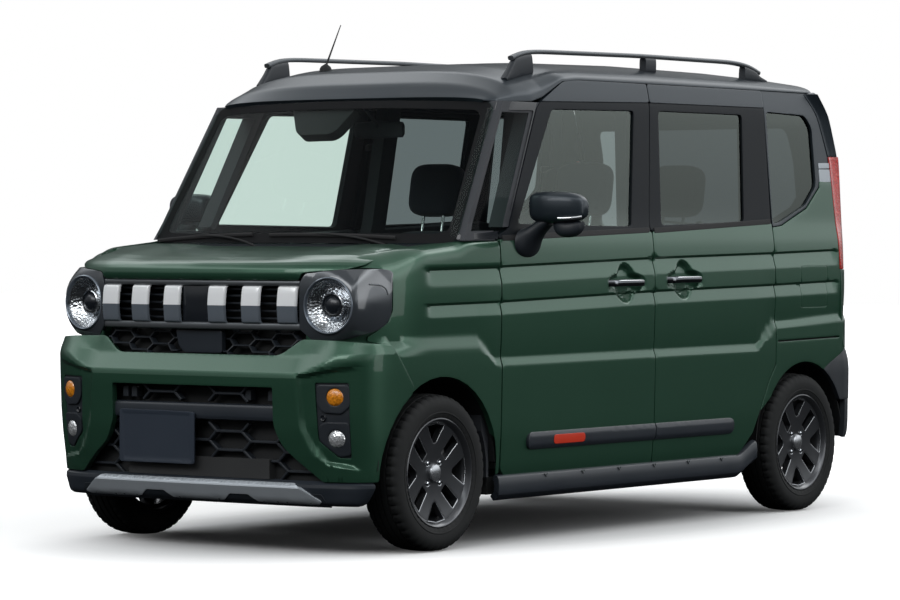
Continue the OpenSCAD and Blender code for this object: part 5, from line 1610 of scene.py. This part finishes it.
MIRROR_Y = DOOR_Y + 170
cap_rows = [(746, MIRROR_Y, 1212, 16, 22), (752, MIRROR_Y, 1210, 34, 42), (768, MIRROR_Y - 4, 1208, 46, 53),
            (820, MIRROR_Y - 4, 1207, 50, 57), (880, MIRROR_Y, 1207, 47, 56),
            (925, MIRROR_Y + 8, 1206, 39, 52), (952, MIRROR_Y + 16, 1204, 29, 42),
            (962, MIRROR_Y + 22, 1203, 18, 26)]
under_rows = [(838, MIRROR_Y + 8, 1144, 12, 8), (856, MIRROR_Y + 6, 1132, 30, 26),
              (890, MIRROR_Y + 6, 1127, 36, 31), (930, MIRROR_Y + 12, 1130, 30, 28),
              (950, MIRROR_Y + 18, 1142, 16, 14)]
foot_rows = [(726, MIRROR_Y - 6, 1080, 78, 54), (738, MIRROR_Y - 5, 1082, 72, 52),
             (752, MIRROR_Y - 3, 1096, 52, 48), (772, MIRROR_Y - 2, 1122, 38, 38),
             (800, MIRROR_Y, 1146, 32, 26), (826, MIRROR_Y, 1156, 28, 14)]
REPEATER = [(886, 45, 1166), (910, 41, 1166), (932, 33, 1167), (950, 20, 1169), (960, 4, 1172)]
repeater_path = [(x, MIRROR_Y - y, z) for x, y, z in REPEATER]
pane_rows = [(764, MIRROR_Y + 44, 1208, 3, 34), (770, MIRROR_Y + 45, 1208, 3, 42),
             (900, MIRROR_Y + 48, 1206, 3, 45), (938, MIRROR_Y + 48, 1205, 3, 36)]
DOOR = "front_door_left"
mirror_parts = [
    loft("mirror_cap_left", eased(cap_rows, 24), GUNMETAL, DOOR),
    loft("mirror_under_left", eased(under_rows, 14), PLASTIC, DOOR, 2.6),
    loft("mirror_foot_left", eased(foot_rows, 18), PLASTIC, DOOR, 2.2),
    sweep("mirror_repeater_left", repeater_path, [(4, 5.5)] * 5, CHROME, DOOR),
    loft("mirror_pane_left", pane_rows, MIRROR, DOOR, 4),
]
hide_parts("mirror_left")
for made in mirror_parts:
    twin = opposite(made, "front_door_right")
    if made is mirror_parts[0]:
        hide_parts("mirror_right")
print("mirror parts", len(mirror_parts))

# %% Roof rails and antenna
RAIL_X = HALF_W - 168
rail_path = curve([(RAIL_X, -560, 1752), (RAIL_X, -500, 1776), (RAIL_X, -380, 1782), (RAIL_X, 300, 1792),
                   (RAIL_X, 960, 1792), (RAIL_X, 1090, 1782), (RAIL_X, 1160, 1756)], 60)
rail = sweep("roof_rail_left", rail_path, [(13, 8.5)] * 60, TRIM_GREY, power=3.4)
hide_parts("roof_rails")
rail_made = [rail]
for label, y0, y1, way in (("front", -604, -440, 1), ("middle", 318, 390, 0), ("rear", 1040, 1206, -1)):
    ys = np.linspace(y0, y1, 14)
    tops = []
    for y in ys:
        share = (y - y0) / (y1 - y0)
        slope = {1: min(1, share * 2.1), 0: 1.0, -1: min(1, (1 - share) * 2.1)}[way]
        base = float(roof(np.array(y), np.array(0.66))[2]) - 10
        top = base + 12 + (float(np.interp(y, rail_path[:, 1], rail_path[:, 2])) - 4 - base - 12) * slope
        tops.append((base, max(top, base + 6)))
    rail_made.append(sweep(f"rail_foot_{label}_left",
                           [(RAIL_X, y, 0.5 * (b + t)) for y, (b, t) in zip(ys, tops)],
                           [(15, 0.5 * (t - b)) for b, t in tops], PLASTIC, power=4))
for made in rail_made:
    opposite(made)
ANTENNA = (-300, -540, 1744)
mast = sweep("antenna_mast",
             [tuple(np.array(ANTENNA) + np.array([0, 92, 160]) * t) for t in np.linspace(0, 1, 12)],
             [(4.2 - 2.4 * t, 4.2 - 2.4 * t) for t in np.linspace(0, 1, 12)], BLACK_MATT, power=2,
             around=12)
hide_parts("antenna")
turned("antenna_base", [(24, -22), (23, -4), (18, 6), (9, 12), (5, 16), (0.001, 18)],
       (ANTENNA[0], ANTENNA[1], ANTENNA[2] - 6), (0, .12, 1), BLACK_MATT, around=28)
print("rails and antenna made")

# %% Wipers and cowl grille
lattice("cowl_grille", lambda x, t: (x, SCREEN_BASE_Y - 66 + 70 * t + 62 * (x / 640) ** 2,
                                     1030 + 44 * soft((t - 0.58) / 0.42) - 8 * (x / 640) ** 2
                                     + 2.0 * np.sin(x / 7.0) * (t > .2) * (t < .8)),
        np.linspace(-640, 640, 200), np.linspace(0, 1, 9), PLASTIC, (0, 0, 1), depth=8)
for label, x0, x1, s0, s1 in (("left", 520, -40, 40, 36), ("right", -120, -610, 40, 44)):
    arm = [spot(screen, x0 + (x1 - x0) * t, s0 - 70 * (1 - t) ** 3 + (s1 - s0) * t, 16 - 8 * t)
           for t in np.linspace(0, .72, 10)]
    blade = [spot(screen, x0 - 40 + (x1 - x0 - 20) * t, s0 - 6 + (s1 - s0) * t, 9)
             for t in np.linspace(0.04, 1, 16)]
    sweep(f"wiper_arm_{label}", arm, [(4.5, 4)] * 10, BLACK_MATT)
    sweep(f"wiper_blade_{label}", blade, [(3.5, 7)] * 16, GASKET)
print("wipers made")

# %% [markdown]
# ## Wheels
# The alloy has four V-shaped pairs of arms: a plate with a triangular window in each V and a straight slot
# between neighbours, whose edges are cut bright. Drawing that plate flat and trimming it like a body panel
# gives its rolled edges. Tyre, barrel and brake disc are turned. The tread has four grooves round it and
# short cuts across its shoulders, because a plain band would look like a toy's.

# %% Wheel parts at the origin, outer face towards +X
def at_wheel(made, name, left, y, body):
    """A wheel part copied to one wheel; the right side's is mirrored."""
    place = Matrix.Translation((MM * WHEEL_X, MM * y, MM * AXLE_Z))
    return copied(made, name, place if left else MIRROR_X @ place, body)


def wheel_turned(name, profile, material, around, **more):
    return turned(name, profile, (0, 0, 0), (1, 0, 0), material, around=around, **more)


RIM_R = 193
NUT_CIRCLE = 50
AROUND = 192
GROOVES = (-38, -13, 13, 38)
tread_marks = []
for x in (-53.5, -45, -41, -40, -36, -35, -20, -16, -15, -11, -10, 0, 10, 11, 15, 16, 20, 35, 36, 40, 41,
          45, 53.5):
    deep = 7.0 if any(abs(x - g) < 2.6 for g in GROOVES) else 0.0
    tread_marks.append((TYRE_R - deep - 0.0012 * x * x, x))
tyre_profile = [(RIM_R - 8, -62), (RIM_R + 3, -69), (RIM_R + 12, -74), (RIM_R + 26, -76.5),
                (RIM_R + 44, -77), (RIM_R + 58, -74.5), (TYRE_R - 12, -68), (TYRE_R - 5, -60)]
tyre_profile = tyre_profile + tread_marks + [(r, -x) for r, x in tyre_profile[::-1]]
LOW_SHOULDER = {i for i, (_, x) in enumerate(tyre_profile) if 40 < abs(x) < 70}
tyre_shape = wheel_turned("tyre_pattern", tyre_profile, RUBBER, AROUND, smooth=28,
                    tooth=lambda k, i: -4.5 if i in LOW_SHOULDER and k % 4 == 0 else 0.0)
raised_ring = wheel_turned("tyre_ring_pattern",
                           [(RIM_R + 15, 74.6), (RIM_R + 16.5, 76.6), (RIM_R + 19, 77.4), (RIM_R + 21, 77),
                            (RIM_R + 22, 75.6)], RUBBER, 96)
barrel = wheel_turned("barrel_pattern",
                      [(RIM_R - 1, -69), (RIM_R - 10, -70), (RIM_R - 14, -58), (RIM_R - 27, -50),
                       (RIM_R - 27, 40), (RIM_R - 22, 52), (RIM_R - 15, 60), (RIM_R - 9, 68),
                       (RIM_R - 4, 70.5), (RIM_R - .5, 69), (RIM_R, 64)], ALLOY, 96)


def plate_face(y, z):
    r = np.hypot(y, z)
    return 55 - 13 * (1 - np.clip(r / 176, 0, 1) ** 2) + 3.5 * soft((34 - r) / 16), y, z


def turned_line(points, angle, radius):
    c, s = math.cos(angle), math.sin(angle)
    return rounded([(c * p[0] - s * p[1], s * p[0] + c * p[1], *p[2:]) for p in points], radius)


nut_places = []
holes = []
for k in range(4):
    between = math.pi / 4 + math.pi / 2 * k
    nut_places.append((NUT_CIRCLE * math.cos(between), NUT_CIRCLE * math.sin(between)))
    holes.append(turned_line([(102, -9, 8), (102, 9, 8), (166, 52, 8), (174, 0, 2), (166, -52, 8)],
                             math.pi / 2 * k, 6))
    holes.append(turned_line([(76, -20, 6), (76, 20, 6), (164, 23, 8), (164, -23, 8)], between, 6))
    holes.append(ring_line(nut_places[-1], 12.5, 18))
rim_plate = skin("rim_plate_pattern", ring_line((0, 0), 181, 96), plate_face, np.arange(-180, 181, 10.0),
                 np.arange(-180, 181, 10.0), ALLOY, (1, 0, 0), holes=holes, lip=2.2, depth=24, step=9)
rim_plate.data.materials.append(CUT_ALLOY)
for face in rim_plate.data.polygons:
    if 0.25 < face.normal.x < 0.93 and math.hypot(face.center.y, face.center.z) < 0.178:
        face.material_index = 1
nut_parts = []
for y, z in nut_places:
    hexagon = [(8.5 * math.cos(t), 8.5 * math.sin(t)) for t in np.linspace(0, 2 * math.pi, 7)[:-1]]
    nut_parts.append(prism(hexagon, (20, y, z), (46, y, z)))
    nut_parts.append(prism([(0.62 * a, 0.62 * b) for a, b in hexagon], (46, y, z), (52, y, z)))
nuts = join("nuts_pattern", nut_parts, CHROME)
cap = wheel_turned("cap_pattern", [(31, 40), (31, 50), (28, 54), (18, 56.5), (8, 57.5), (0.001, 57.8)],
                   CUT_ALLOY, 40)
disc = wheel_turned("disc_pattern", [(44, -6), (44, 12), (58, 12), (60, 4), (118, 4), (119, 2), (119, -14),
                                     (118, -16), (60, -16)], DISC_STEEL, 72)
drum = wheel_turned("drum_pattern", [(40, 14), (96, 14), (102, 9), (104, 2), (104, -8), (100, -10),
                                     (100, -36), (90, -40)], CAST_IRON, 72)
calliper = sweep("calliper_pattern",
                 [(-6 + 0 * t, 104 * math.cos(t), 104 * math.sin(t))
                  for t in np.radians(np.linspace(8, 62, 14))], [(24, 24)] * 14, CAST_IRON, power=4,
                 up=(1, 0, 0))
valve = sweep("valve_pattern", [(48, 0, -168), (56, 0, -160), (62, 0, -154)],
              [(3.2, 3.2), (3, 3), (2.4, 2.4)], GASKET, power=2, around=10)
patterns = [("tyre", tyre_shape), ("tyre_bead_ring", raised_ring), ("barrel", barrel),
            ("rim_plate", rim_plate), ("nuts", nuts), ("cap", cap), ("valve", valve)]
for end, y in (("front", FRONT_AXLE_Y), ("rear", REAR_AXLE_Y)):
    for hand in ("left", "right"):
        body = f"wheel_{end}_{hand}"
        for label, pattern in patterns + [("brake", disc if end == "front" else drum)]:
            made = at_wheel(pattern, f"{label}_{end}_{hand}_visual", hand == "left", y, body)
            if label == "tyre":
                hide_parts(f"tyre_{end}_{hand}")
            if label == "rim_plate":
                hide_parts(f"rim_{end}_{hand}")
        if end == "front":
            at_wheel(calliper, f"calliper_{hand}", hand == "left", y, f"knuckle_{hand}")
for made in [p for _, p in patterns] + [disc, drum, calliper]:
    bpy.data.meshes.remove(made.data)
print("tyre faces", AROUND * (len(tyre_profile) - 1), "each")

# %% Wheelhouse liners
def liner(name, centre_y, radius, x0, x1, start, end):
    angles = np.radians(np.linspace(start, end, 40))
    return lattice(name,
                   lambda x, t: (x, centre_y + radius * np.cos(t), AXLE_Z + radius * np.sin(t) + 0 * x),
                   np.linspace(x0, x1, 12), angles, BLACK_MATT, (0, 0, -1), depth=3)


for end, y, radius, x0 in (("front", FRONT_AXLE_Y, 343, 470), ("rear", REAR_AXLE_Y, 331, 500)):
    made = liner(f"arch_liner_{end}_left", y, radius, x0, 706, 4, 176)
    opposite(made)
print("liners made")

# %% [markdown]
# ## Rear end
# The tailgate follows the rear profile: upright below the glass, leaning forward above it, under a small
# spoiler that continues the roof. Red lamps stand on the corners between gate and quarter panels, and the
# bumper has dark lower corners.

# %% Rear surface
REAR_Z = [280, 400, 560, 648, 700, 970, 1130, 1426, 1596, 1690, 1735]
REAR_Y = [1672, 1690, 1696, 1664, 1645, 1640, 1636, 1621, 1557, 1468, 1421]
rear_fine = np.arange(200.0, 1760.0, 4.0)
rear_raw = np.interp(np.arange(120.0, 1840.0, 4.0), REAR_Z, REAR_Y)
rear_smooth = np.convolve(rear_raw, bell(20, 4, 24.0), "same")[20:20 + len(rear_fine)]


def tail_in(x):
    return np.interp(np.abs(x), [0, 450, 600, 670, 705], [0, 5, 12, 22, 42])


def rear_face(x, z, inset=0.0):
    return x, np.interp(z, rear_fine, rear_smooth) - tail_in(x) - inset, z


GATE_X, GATE_LOW = 586, 654
gate_line = [(-GATE_X, GATE_LOW, 20), (GATE_X, GATE_LOW, 20), (GATE_X, 1128), (-GATE_X, 1128)]
BACK = (0, 1, 0)


def gate(x, z):
    """Tailgate's skin, with a dished panel for the plate and a crease above it."""
    dish = np.maximum(np.abs(x) / 250, np.abs(z - 850) / 95)
    return x, rear_face(x, z)[1] - 16 * soft((1.12 - dish) / 0.14) + 5 * np.exp(-((z - 1010) / 26) ** 2), z


gate_skin = skin("tailgate_skin", rounded(gate_line, 6), gate,
                 merged(np.linspace(-GATE_X, GATE_X, 41), np.linspace(-290, -240, 7),
                        np.linspace(240, 290, 7)),
                 merged(np.arange(660, 1128, 16.0), np.linspace(740, 770, 5), np.linspace(935, 965, 5)),
                 GREEN, BACK, body="tailgate", depth=20)
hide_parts("tailgate")
pane_line = [(-496, 1140, 40), (496, 1140, 40), (468, 1556, 40), (-468, 1556, 40)]
skin("tailgate_frame",
     rounded([(-GATE_X, 1132), (GATE_X, 1132), (GATE_X - 6, 1430), (GATE_X - 34, 1604), (GATE_X - 60, 1690),
              (-GATE_X + 60, 1690), (-GATE_X + 34, 1604), (-GATE_X + 6, 1430)], 8),
     lambda x, z: rear_face(x, z, 1.0), np.linspace(-GATE_X, GATE_X, 41), np.arange(1140, 1690, 20.0),
     GLOSS_BLACK, BACK, holes=[rounded(pane_line, 40)], body="tailgate", depth=18)
gate_pane = skin("tailgate_pane",
                 rounded([(-504, 1132, 44), (504, 1132, 44), (476, 1564, 44), (-476, 1564, 44)], 44),
                 lambda x, z: rear_face(x, z, 6.0), np.linspace(-500, 500, 31), np.arange(1140, 1570, 30.0),
                 PRIVACY, BACK, lip=.5, depth=3, body="tailgate")
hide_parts("tailgate_window")
skin("tailgate_lining", rounded([(-540, 690), (540, 690), (540, 1120), (-540, 1120)], 30),
     lambda x, z: rear_face(x, z, 46.0), np.linspace(-540, 540, 25), np.arange(700, 1120, 40.0), TRIM_DARK,
     (0, -1, 0), body="tailgate", depth=-14)
lattice("tailgate_spoiler",
        lambda x, t: (x, np.interp(t, [0, .3, .62, .72, .8, 1], [1440, 1490, 1548, 1558, 1552, 1500])
                      - 40 * (np.abs(x) / 520) ** 3,
                      np.interp(t, [0, .3, .62, .72, .8, 1], [1728, 1722, 1706, 1696, 1684, 1662])
                      - 8 * (np.abs(x) / 520) ** 2), np.linspace(-520, 520, 41), np.linspace(0, 1, 25),
        GUNMETAL, (0, .3, 1), body="tailgate", depth=6)
sweep("high_stop_lamp", curve([(-130, 1553, 1690), (0, 1557, 1690), (130, 1553, 1690)], 12), [(4, 5)] * 12,
      RED, body="tailgate")
lattice("tailgate_garnish", lambda x, z: (x, rear_face(x, z)[1] + 12 - 8 * np.abs((z - 962) / 22) ** 4, z),
        np.linspace(-300, 300, 25), np.linspace(940, 984, 11), GLOSS_BLACK, BACK, body="tailgate", depth=14)
skin("rear_plate", rounded([(-165, 770, 8), (165, 770, 8), (165, 935, 8), (-165, 935, 8)], 8),
     lambda x, z: rear_face(x, z, 9.0), np.arange(-160, 161, 20.0), np.arange(780, 934, 20.0), PLATE_BLUE,
     BACK, lip=1.5, depth=4, body="tailgate")
WIPER_AT = [(-20, 1150), (-90, 1156), (-180, 1164), (-300, 1176)]
sweep("rear_wiper_arm", [spot(rear_face, x, z, -14 + 4 * abs(x) / 300) for x, z in WIPER_AT], [(6, 5)] * 4,
      BLACK_MATT, body="tailgate")
turned("rear_wiper_hub", [(17, -6), (17, 8), (13, 13), (0.001, 14)], spot(rear_face, -10, 1148, -2), BACK,
       BLACK_MATT, around=24, body="tailgate")
print("tailgate pieces made")

# %% Rear bumper, corners and lamps
TAIL_PLAN_X = np.array([0, 450, 600, 670, 705, 724, 735, 737, 738])
TAIL_PLAN_D = np.array([0, 5, 12, 22, 42, 74, 120, 200, 420])
tail_run = np.concatenate([[0], np.cumsum(np.hypot(np.diff(TAIL_PLAN_X), np.diff(TAIL_PLAN_D)))])


def rear_wrap(a, z, inset=0.0):
    """Bumper's skin by the length round the corner and the height."""
    x = np.interp(np.abs(a), tail_run, TAIL_PLAN_X) * np.sign(a)
    d = np.interp(np.abs(a), tail_run, TAIL_PLAN_D)
    turn = soft((d - 30) / 130)
    tuck = np.interp(z, [283, 300, 340, 560, 600, 640, 660], [26, 12, 4, 0, 6, 26, 44])
    depth = tuck * (1 - 0.6 * turn) + inset + 6 * turn
    return x - np.sign(a) * depth * turn, Y_REAR - d - depth * (1 - turn), z


def tail_at(d):
    return float(np.interp(d, TAIL_PLAN_D, tail_run))


rear_end = tail_at(Y_REAR - REAR_AXLE_Y - 330)
bumper_rows = np.array([440, 470, 500, 530, 560, 575, 590, 605, 620, 635, 648, 656.0])
rear_upper = lattice("rear_bumper_skin", rear_wrap, np.linspace(-tail_at(44), tail_at(44), 81), bumper_rows,
                     GREEN, BACK, depth=20)
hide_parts("rear_bumper")
lattice("rear_bumper_lower", lambda a, z: rear_wrap(a, z, 3.0), np.linspace(-rear_end, rear_end, 91),
        np.array([284, 288, 296, 310, 330, 360, 390, 420, 436.0]), PLASTIC, BACK, depth=20)
corner_loop = [(tail_at(46), 440), (tail_at(46), 650), (tail_at(102), 642), (tail_at(252), 580)]
corner_loop += [(tail_at(Y_REAR - REAR_AXLE_Y - math.sqrt(328 ** 2 - (z - AXLE_Z) ** 2)), z)
                for z in (566, 540, 510, 480, 440)]
corner = skin("rear_corner_left", rounded(corner_loop, 6), lambda a, z: rear_wrap(a, z, 1.5),
              np.linspace(tail_at(46), tail_at(300), 24), np.arange(450, 650, 14.0), PLASTIC, (1, 1, 0),
              depth=16)
opposite(corner)
reflector = lattice("rear_reflector_left", lambda a, z: rear_wrap(a, z, -2.0),
                    np.linspace(tail_at(13), tail_at(24), 10), np.linspace(392, 424, 5), RED, BACK, lip=1,
                    depth=6)
opposite(reflector)


def lamp_wrap(a, z):
    x = np.interp(a, tail_run, TAIL_PLAN_X)
    d = np.interp(a, tail_run, TAIL_PLAN_D)
    base = np.interp(z, rear_fine, rear_smooth)
    draw = np.interp(z, fine_z, fine_inset) - 3
    return x - draw * soft((d - 10) / 90), base - d + 14, z


def post_wrap(a, z, inset=0.0):
    """Body skin round the rear corner, under and over the lamp."""
    x, y, z = lamp_wrap(a, z)
    return x - inset * 0.7, y - 12 - inset * 0.7, z


lower_post = lattice("rear_post_left", post_wrap, np.linspace(tail_at(11.7), tail_at(92), 24),
                     np.linspace(654, 968, 24), GREEN, (1, 1, 0), depth=16)
opposite(lower_post)
upper_post = lattice("rear_pillar_left", post_wrap, np.linspace(tail_at(10.4), tail_at(98), 24),
                     np.linspace(1428, 1676, 24), GUNMETAL, (1, 1, 0), depth=16)
opposite(upper_post)
post_lining = lattice("rear_post_lining_left",
                      lambda t, z: (590 + 20 * t - 60 * soft((z - 1430) / 260),
                                    np.interp(z, rear_fine, rear_smooth) - 46 - 60 * t, z),
                      np.linspace(0, 1, 7), np.linspace(656, 1640, 40), BLACK_MATT, (-1, 0, 0), depth=6)
opposite(post_lining)
tail_lamp = lattice("tail_lamp_left", lamp_wrap, np.linspace(tail_at(12), tail_at(106), 26),
                    np.linspace(972, 1424, 40), RED, (1, 1, 0), lip=3, depth=20)
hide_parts("tail_lamps")
opposite(tail_lamp)
for name, z0, z1, glow in (("turn", 1130, 1210, AMBER), ("reverse", 1050, 1116, FOG)):
    made = lattice(f"tail_{name}_left",
                   lambda a, z: tuple(np.array(lamp_wrap(a, z)) + np.array([[1.0], [2.0], [0.0]])),
                   np.linspace(tail_at(13), tail_at(22), 8), np.linspace(z0, z1, 10), glow, (1, 1, 0),
                   lip=1, depth=4)
    opposite(made)
print("rear bumper and lamps made")

# %% [markdown]
# ## Cabin
# Seats show through the glass, so they are crowned cushions with sewn channels, not blocks. Each is a closed
# form whose skin is pushed out most at its middle and pulled in along the seams. A cloth simulation would
# swell them too, but they are small behind tinted glass, and vertex code gives the same crown at once.

# %% Seat cushions
def cushion(name, middle, half, tilt, material, seams=(), pinch=6.0, power=4.0, around=56, rings=28):
    """A crowned pad: half sizes along X, Y and Z, tilted about X. seams are shares across its width."""
    verts = []
    for i in range(rings + 1):
        v = -math.pi / 2 + math.pi * i / rings
        for k in range(around):
            u = 2 * math.pi * k / around
            x = squared(math.cos(v), power) * squared(math.cos(u), power)
            y = squared(math.sin(v), power)
            z = squared(math.cos(v), power) * squared(math.sin(u), power)
            crown = 1 + 0.06 * (1 - x * x) * (1 - z * z)
            groove = sum(math.exp(-((x - s) / 0.045) ** 2) for s in seams)
            edge = math.exp(-((abs(x) - 0.82) / 0.06) ** 2)
            y_push = half[1] * y * crown - math.copysign(pinch * (groove + 0.5 * edge) * abs(y) ** 2, y)
            verts.append((half[0] * x * (1 - 0.03 * (1 - z * z)), y_push, half[2] * z))
    c, s = math.cos(math.radians(tilt)), math.sin(math.radians(tilt))
    verts = [(middle[0] + x, middle[1] + c * y - s * z, middle[2] + s * y + c * z) for x, y, z in verts]
    made = outward(piece(name, verts, bridged(rings + 1, around), material, smooth=60), 1e-5)
    return made


SEAT_FLOOR = 283
for row, x_places, y0, width in (("front", (-350, 350), DOOR_Y + 420, 490),
                                 ("rear", (-265, 265), C_Y - 668, 500)):
    for x in x_places:
        hand = "left" if x > 0 else "right"
        base = f"{row}_seat_{hand}"
        cushion_low = cushion(base + "_cushion", (x, y0 + 225, SEAT_FLOOR + 178), (width / 2 - 6, 62, 236),
                              94, SEAT_CLOTH, seams=(-.5, .5))
        cushion(base + "_back", (x, y0 + 530, SEAT_FLOOR + 520), (width / 2 - 18, 56, 330), -17, SEAT_CLOTH,
                seams=(-.48, .48))
        cushion(base + "_headrest", (x, y0 + 664, SEAT_FLOOR + 1000), (124, 44, 104), -10, SEAT_CLOTH,
                pinch=3.0)
        for post in (-48, 48):
            sweep(f"{base}_post_{'a' if post < 0 else 'b'}",
                  [(x + post, y0 + 618 + 26 * t, SEAT_FLOOR + 800 + 120 * t) for t in np.linspace(0, 1, 4)],
                  [(6, 6)] * 4, CHROME, power=2, around=12)
        sweep(base + "_base", [(x, y0 + 10 + 400 * t, SEAT_FLOOR + 62) for t in np.linspace(0, 1, 8)],
              [(width / 2 - 50, 58)] * 8, TRIM_DARK, power=6, around=28)
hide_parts("front_seats")
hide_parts("rear_bench")

# %% Dashboard
DASH_Y = DOOR_Y - 10
DASH_LINE = np.array([(212, 706), (244, 790), (250, 858), (236, 900), (214, 950), (190, 1000), (120, 1028),
                      (20, 1040), (-60, 1046), (-148, 1044)])
dash_run = np.linspace(0, 1, len(DASH_LINE))


def dash(x, t):
    y = np.interp(t, dash_run, DASH_LINE[:, 0])
    z = np.interp(t, dash_run, DASH_LINE[:, 1])
    hood = np.exp(-((x + 350) / 150) ** 4) * np.exp(-((t - .62) / .16) ** 2)
    tray = np.exp(-((x - 330) / 190) ** 6) * np.exp(-((t - .45) / .09) ** 4)
    stack = np.exp(-(x / 110) ** 6) * np.exp(-((t - .30) / .22) ** 4)
    return x, DASH_Y + y + 14 * hood - 40 * tray + 26 * stack, z + 46 * hood


dash_made = lattice("dashboard_skin", dash, np.linspace(-588, 588, 90), np.linspace(0, 1, 60), DASH,
                    (0, .4, 1), depth=10)
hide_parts("dashboard")
lattice("dash_display", lambda x, z: (x, DASH_Y + 286 - (z - 870) * .35, z), np.linspace(-100, 100, 9),
        np.linspace(820, 930, 7), GLOSS_BLACK, (0, 1, .2), lip=3, depth=24)
for label, x in (("left", 520), ("centre_left", 130), ("centre_right", -130), ("right", -530)):
    lattice(f"dash_vent_{label}",
            lambda u, v, x=x: (x + 46 * u,
                               DASH_Y + 262 - 60 * v - 3.0 * np.abs(np.sin(v * 11)) * (np.abs(u) < .9),
                               905 + 52 * v), np.linspace(-1, 1, 21), np.linspace(0, 1, 41), DASH,
            (0, 1, .4), depth=14)
print("dashboard faces", len(dash_made.data.polygons))

# %% Steering wheel, mirror and camera housing
WHEEL_POS = Vector((-350, DOOR_Y + 330, 935))
COLUMN = Vector((0, math.sin(math.radians(62)), math.cos(math.radians(62))))
RIM_TUBE = [(166 + 14 * math.cos(t), 14 * math.sin(t)) for t in np.linspace(0, 2 * math.pi, 17)]
wheel_rim = turned("steering_rim", RIM_TUBE, WHEEL_POS, COLUMN, DASH, around=72, body="steering_wheel")
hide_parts("steering_wheel")
turned("steering_pad", [(52, -58), (56, -30), (54, -12), (44, -2), (24, 3), (0.001, 4)], WHEEL_POS, COLUMN,
       TRIM_DARK, around=40, body="steering_wheel")
turned("steering_shaft", [(14, -230), (14, -60), (30, -58)], WHEEL_POS, COLUMN, CAST_IRON, around=24,
       body="steering_wheel")
flat_across = Vector((1, 0, 0))
down_face = COLUMN.cross(flat_across)
for label, ray in (("left", flat_across), ("right", -flat_across),
                   ("low", down_face if down_face.z < 0 else -down_face)):
    path = [tuple(WHEEL_POS + ray * r - COLUMN * (14 - 8 * (r - 40) / 116)) for r in np.linspace(40, 156, 8)]
    sweep(f"steering_spoke_{label}", path, [(20, 7), (19, 7), (18, 7), (17, 7), (16, 7), (16, 7), (17, 7),
                                            (19, 7)], TRIM_GREY, body="steering_wheel", up=tuple(COLUMN))
housing_line = [(-145, 1576, 6), (145, 1576, 6), (96, 1500, 22), (70, 1486, 16), (-66, 1486, 16),
                (-92, 1500, 22)]
skin("camera_housing", rounded([(x - 100, screen_s(x, z), r) for x, z, r in housing_line], 10),
     lambda x, s: screen(x, s, -12.0), np.arange(-245, 60, 14.0), np.arange(470, 600, 12.0), BLACK_MATT,
     (0, -1, .6), lip=4, depth=40)
loft("cabin_mirror", [(-112, -600, 1498, 8, 20), (-104, -600, 1498, 12, 29), (0, -602, 1499, 14, 33),
                      (104, -600, 1498, 12, 29), (112, -600, 1498, 8, 20)], TRIM_DARK, "body", 4)
loft("cabin_mirror_face", [(-100, -587, 1498, 2, 21), (0, -587.5, 1499, 2, 26), (100, -587, 1498, 2, 21)],
     MIRROR, "body", 5)
sweep("cabin_mirror_stalk", curve([(0, -612, 1508), (0, -660, 1560), (0, -716, 1592)], 8), [(7, 7)] * 8,
      TRIM_DARK, power=2)
print("cabin fittings made")

# %% Pillar trim and belts
lining_loop = [(C_Y + 26, 560), (1560, 640), (1566, 1000), (1540, 1440), (1470, 1630), (C_Y + 30, 1636)]
quarter_lining = skin("quarter_lining_left", on_side(lining_loop, 20), deeper(74.0),
                      np.arange(1060, 1570, 30.0), np.arange(570, 1640, 30.0), TRIM_DARK, (-1, 0, 0),
                      holes=[on_side(grown(quarter_pane, 4), 24)], depth=8)
opposite(quarter_lining)
for hand, sign in (("left", 1), ("right", -1)):
    belt_path = curve([(sign * 636, B_Y + 40, 1440), (sign * 630, B_Y + 24, 1300),
                       (sign * 634, B_Y + 10, 900), (sign * 640, B_Y - 6, 420)], 24)
    sweep(f"belt_{hand}", belt_path, [(23, 1.6)] * 24, GASKET, power=6, up=(sign, 0, 0))
    anchor = sign * 640
    sweep(f"belt_guide_{hand}",
          curve([(anchor, B_Y + 6, 1452), (anchor, B_Y + 40, 1462), (anchor, B_Y + 74, 1452)], 10),
          [(9, 12)] * 10, TRIM_DARK, power=3)
print("belts made")

# %% Finishes of the solids that stay
KEPT = {"floor_pan": UNDERCOAT, "cowl": PLASTIC, "a_pillars": TRIM_DARK, "b_pillars": TRIM_DARK,
        "engine": CAST_IRON, "front_subframe": UNDERCOAT, "rear_axle": UNDERCOAT, "fuel_tank": PLASTIC,
        "exhaust": PIPE_STEEL, "knuckle_left": CAST_IRON, "knuckle_right": CAST_IRON}
for name, node_finish in KEPT.items():
    node = bpy.data.objects[name]
    if not node.material_slots:
        node.data.materials.append(node_finish)
    for slot in node.material_slots:
        slot.material = node_finish
print("kept solids finished:", len(KEPT))

# %% [markdown]
# ## Floor and hand-over
# The floor is a pale sheet that keeps the car's shadow, with a painted shadow under the car added to the
# lamps' real one. It is staging, not part of the car. Its own colour is what the camera sees; mirrors in
# paint and glass see it too.

# %% Floor
floor_mesh = bpy.data.meshes.new("floor")
FLOOR_REACH = 40.0
floor_mesh.from_pydata([(-FLOOR_REACH, -FLOOR_REACH, 0), (FLOOR_REACH, -FLOOR_REACH, 0),
                        (FLOOR_REACH, FLOOR_REACH, 0), (-FLOOR_REACH, FLOOR_REACH, 0)], [], [(0, 1, 2, 3)])
floor_mesh.materials.append(studio_floor())
floor = bpy.data.objects.new("floor", floor_mesh)
scene.collection.objects.link(floor)
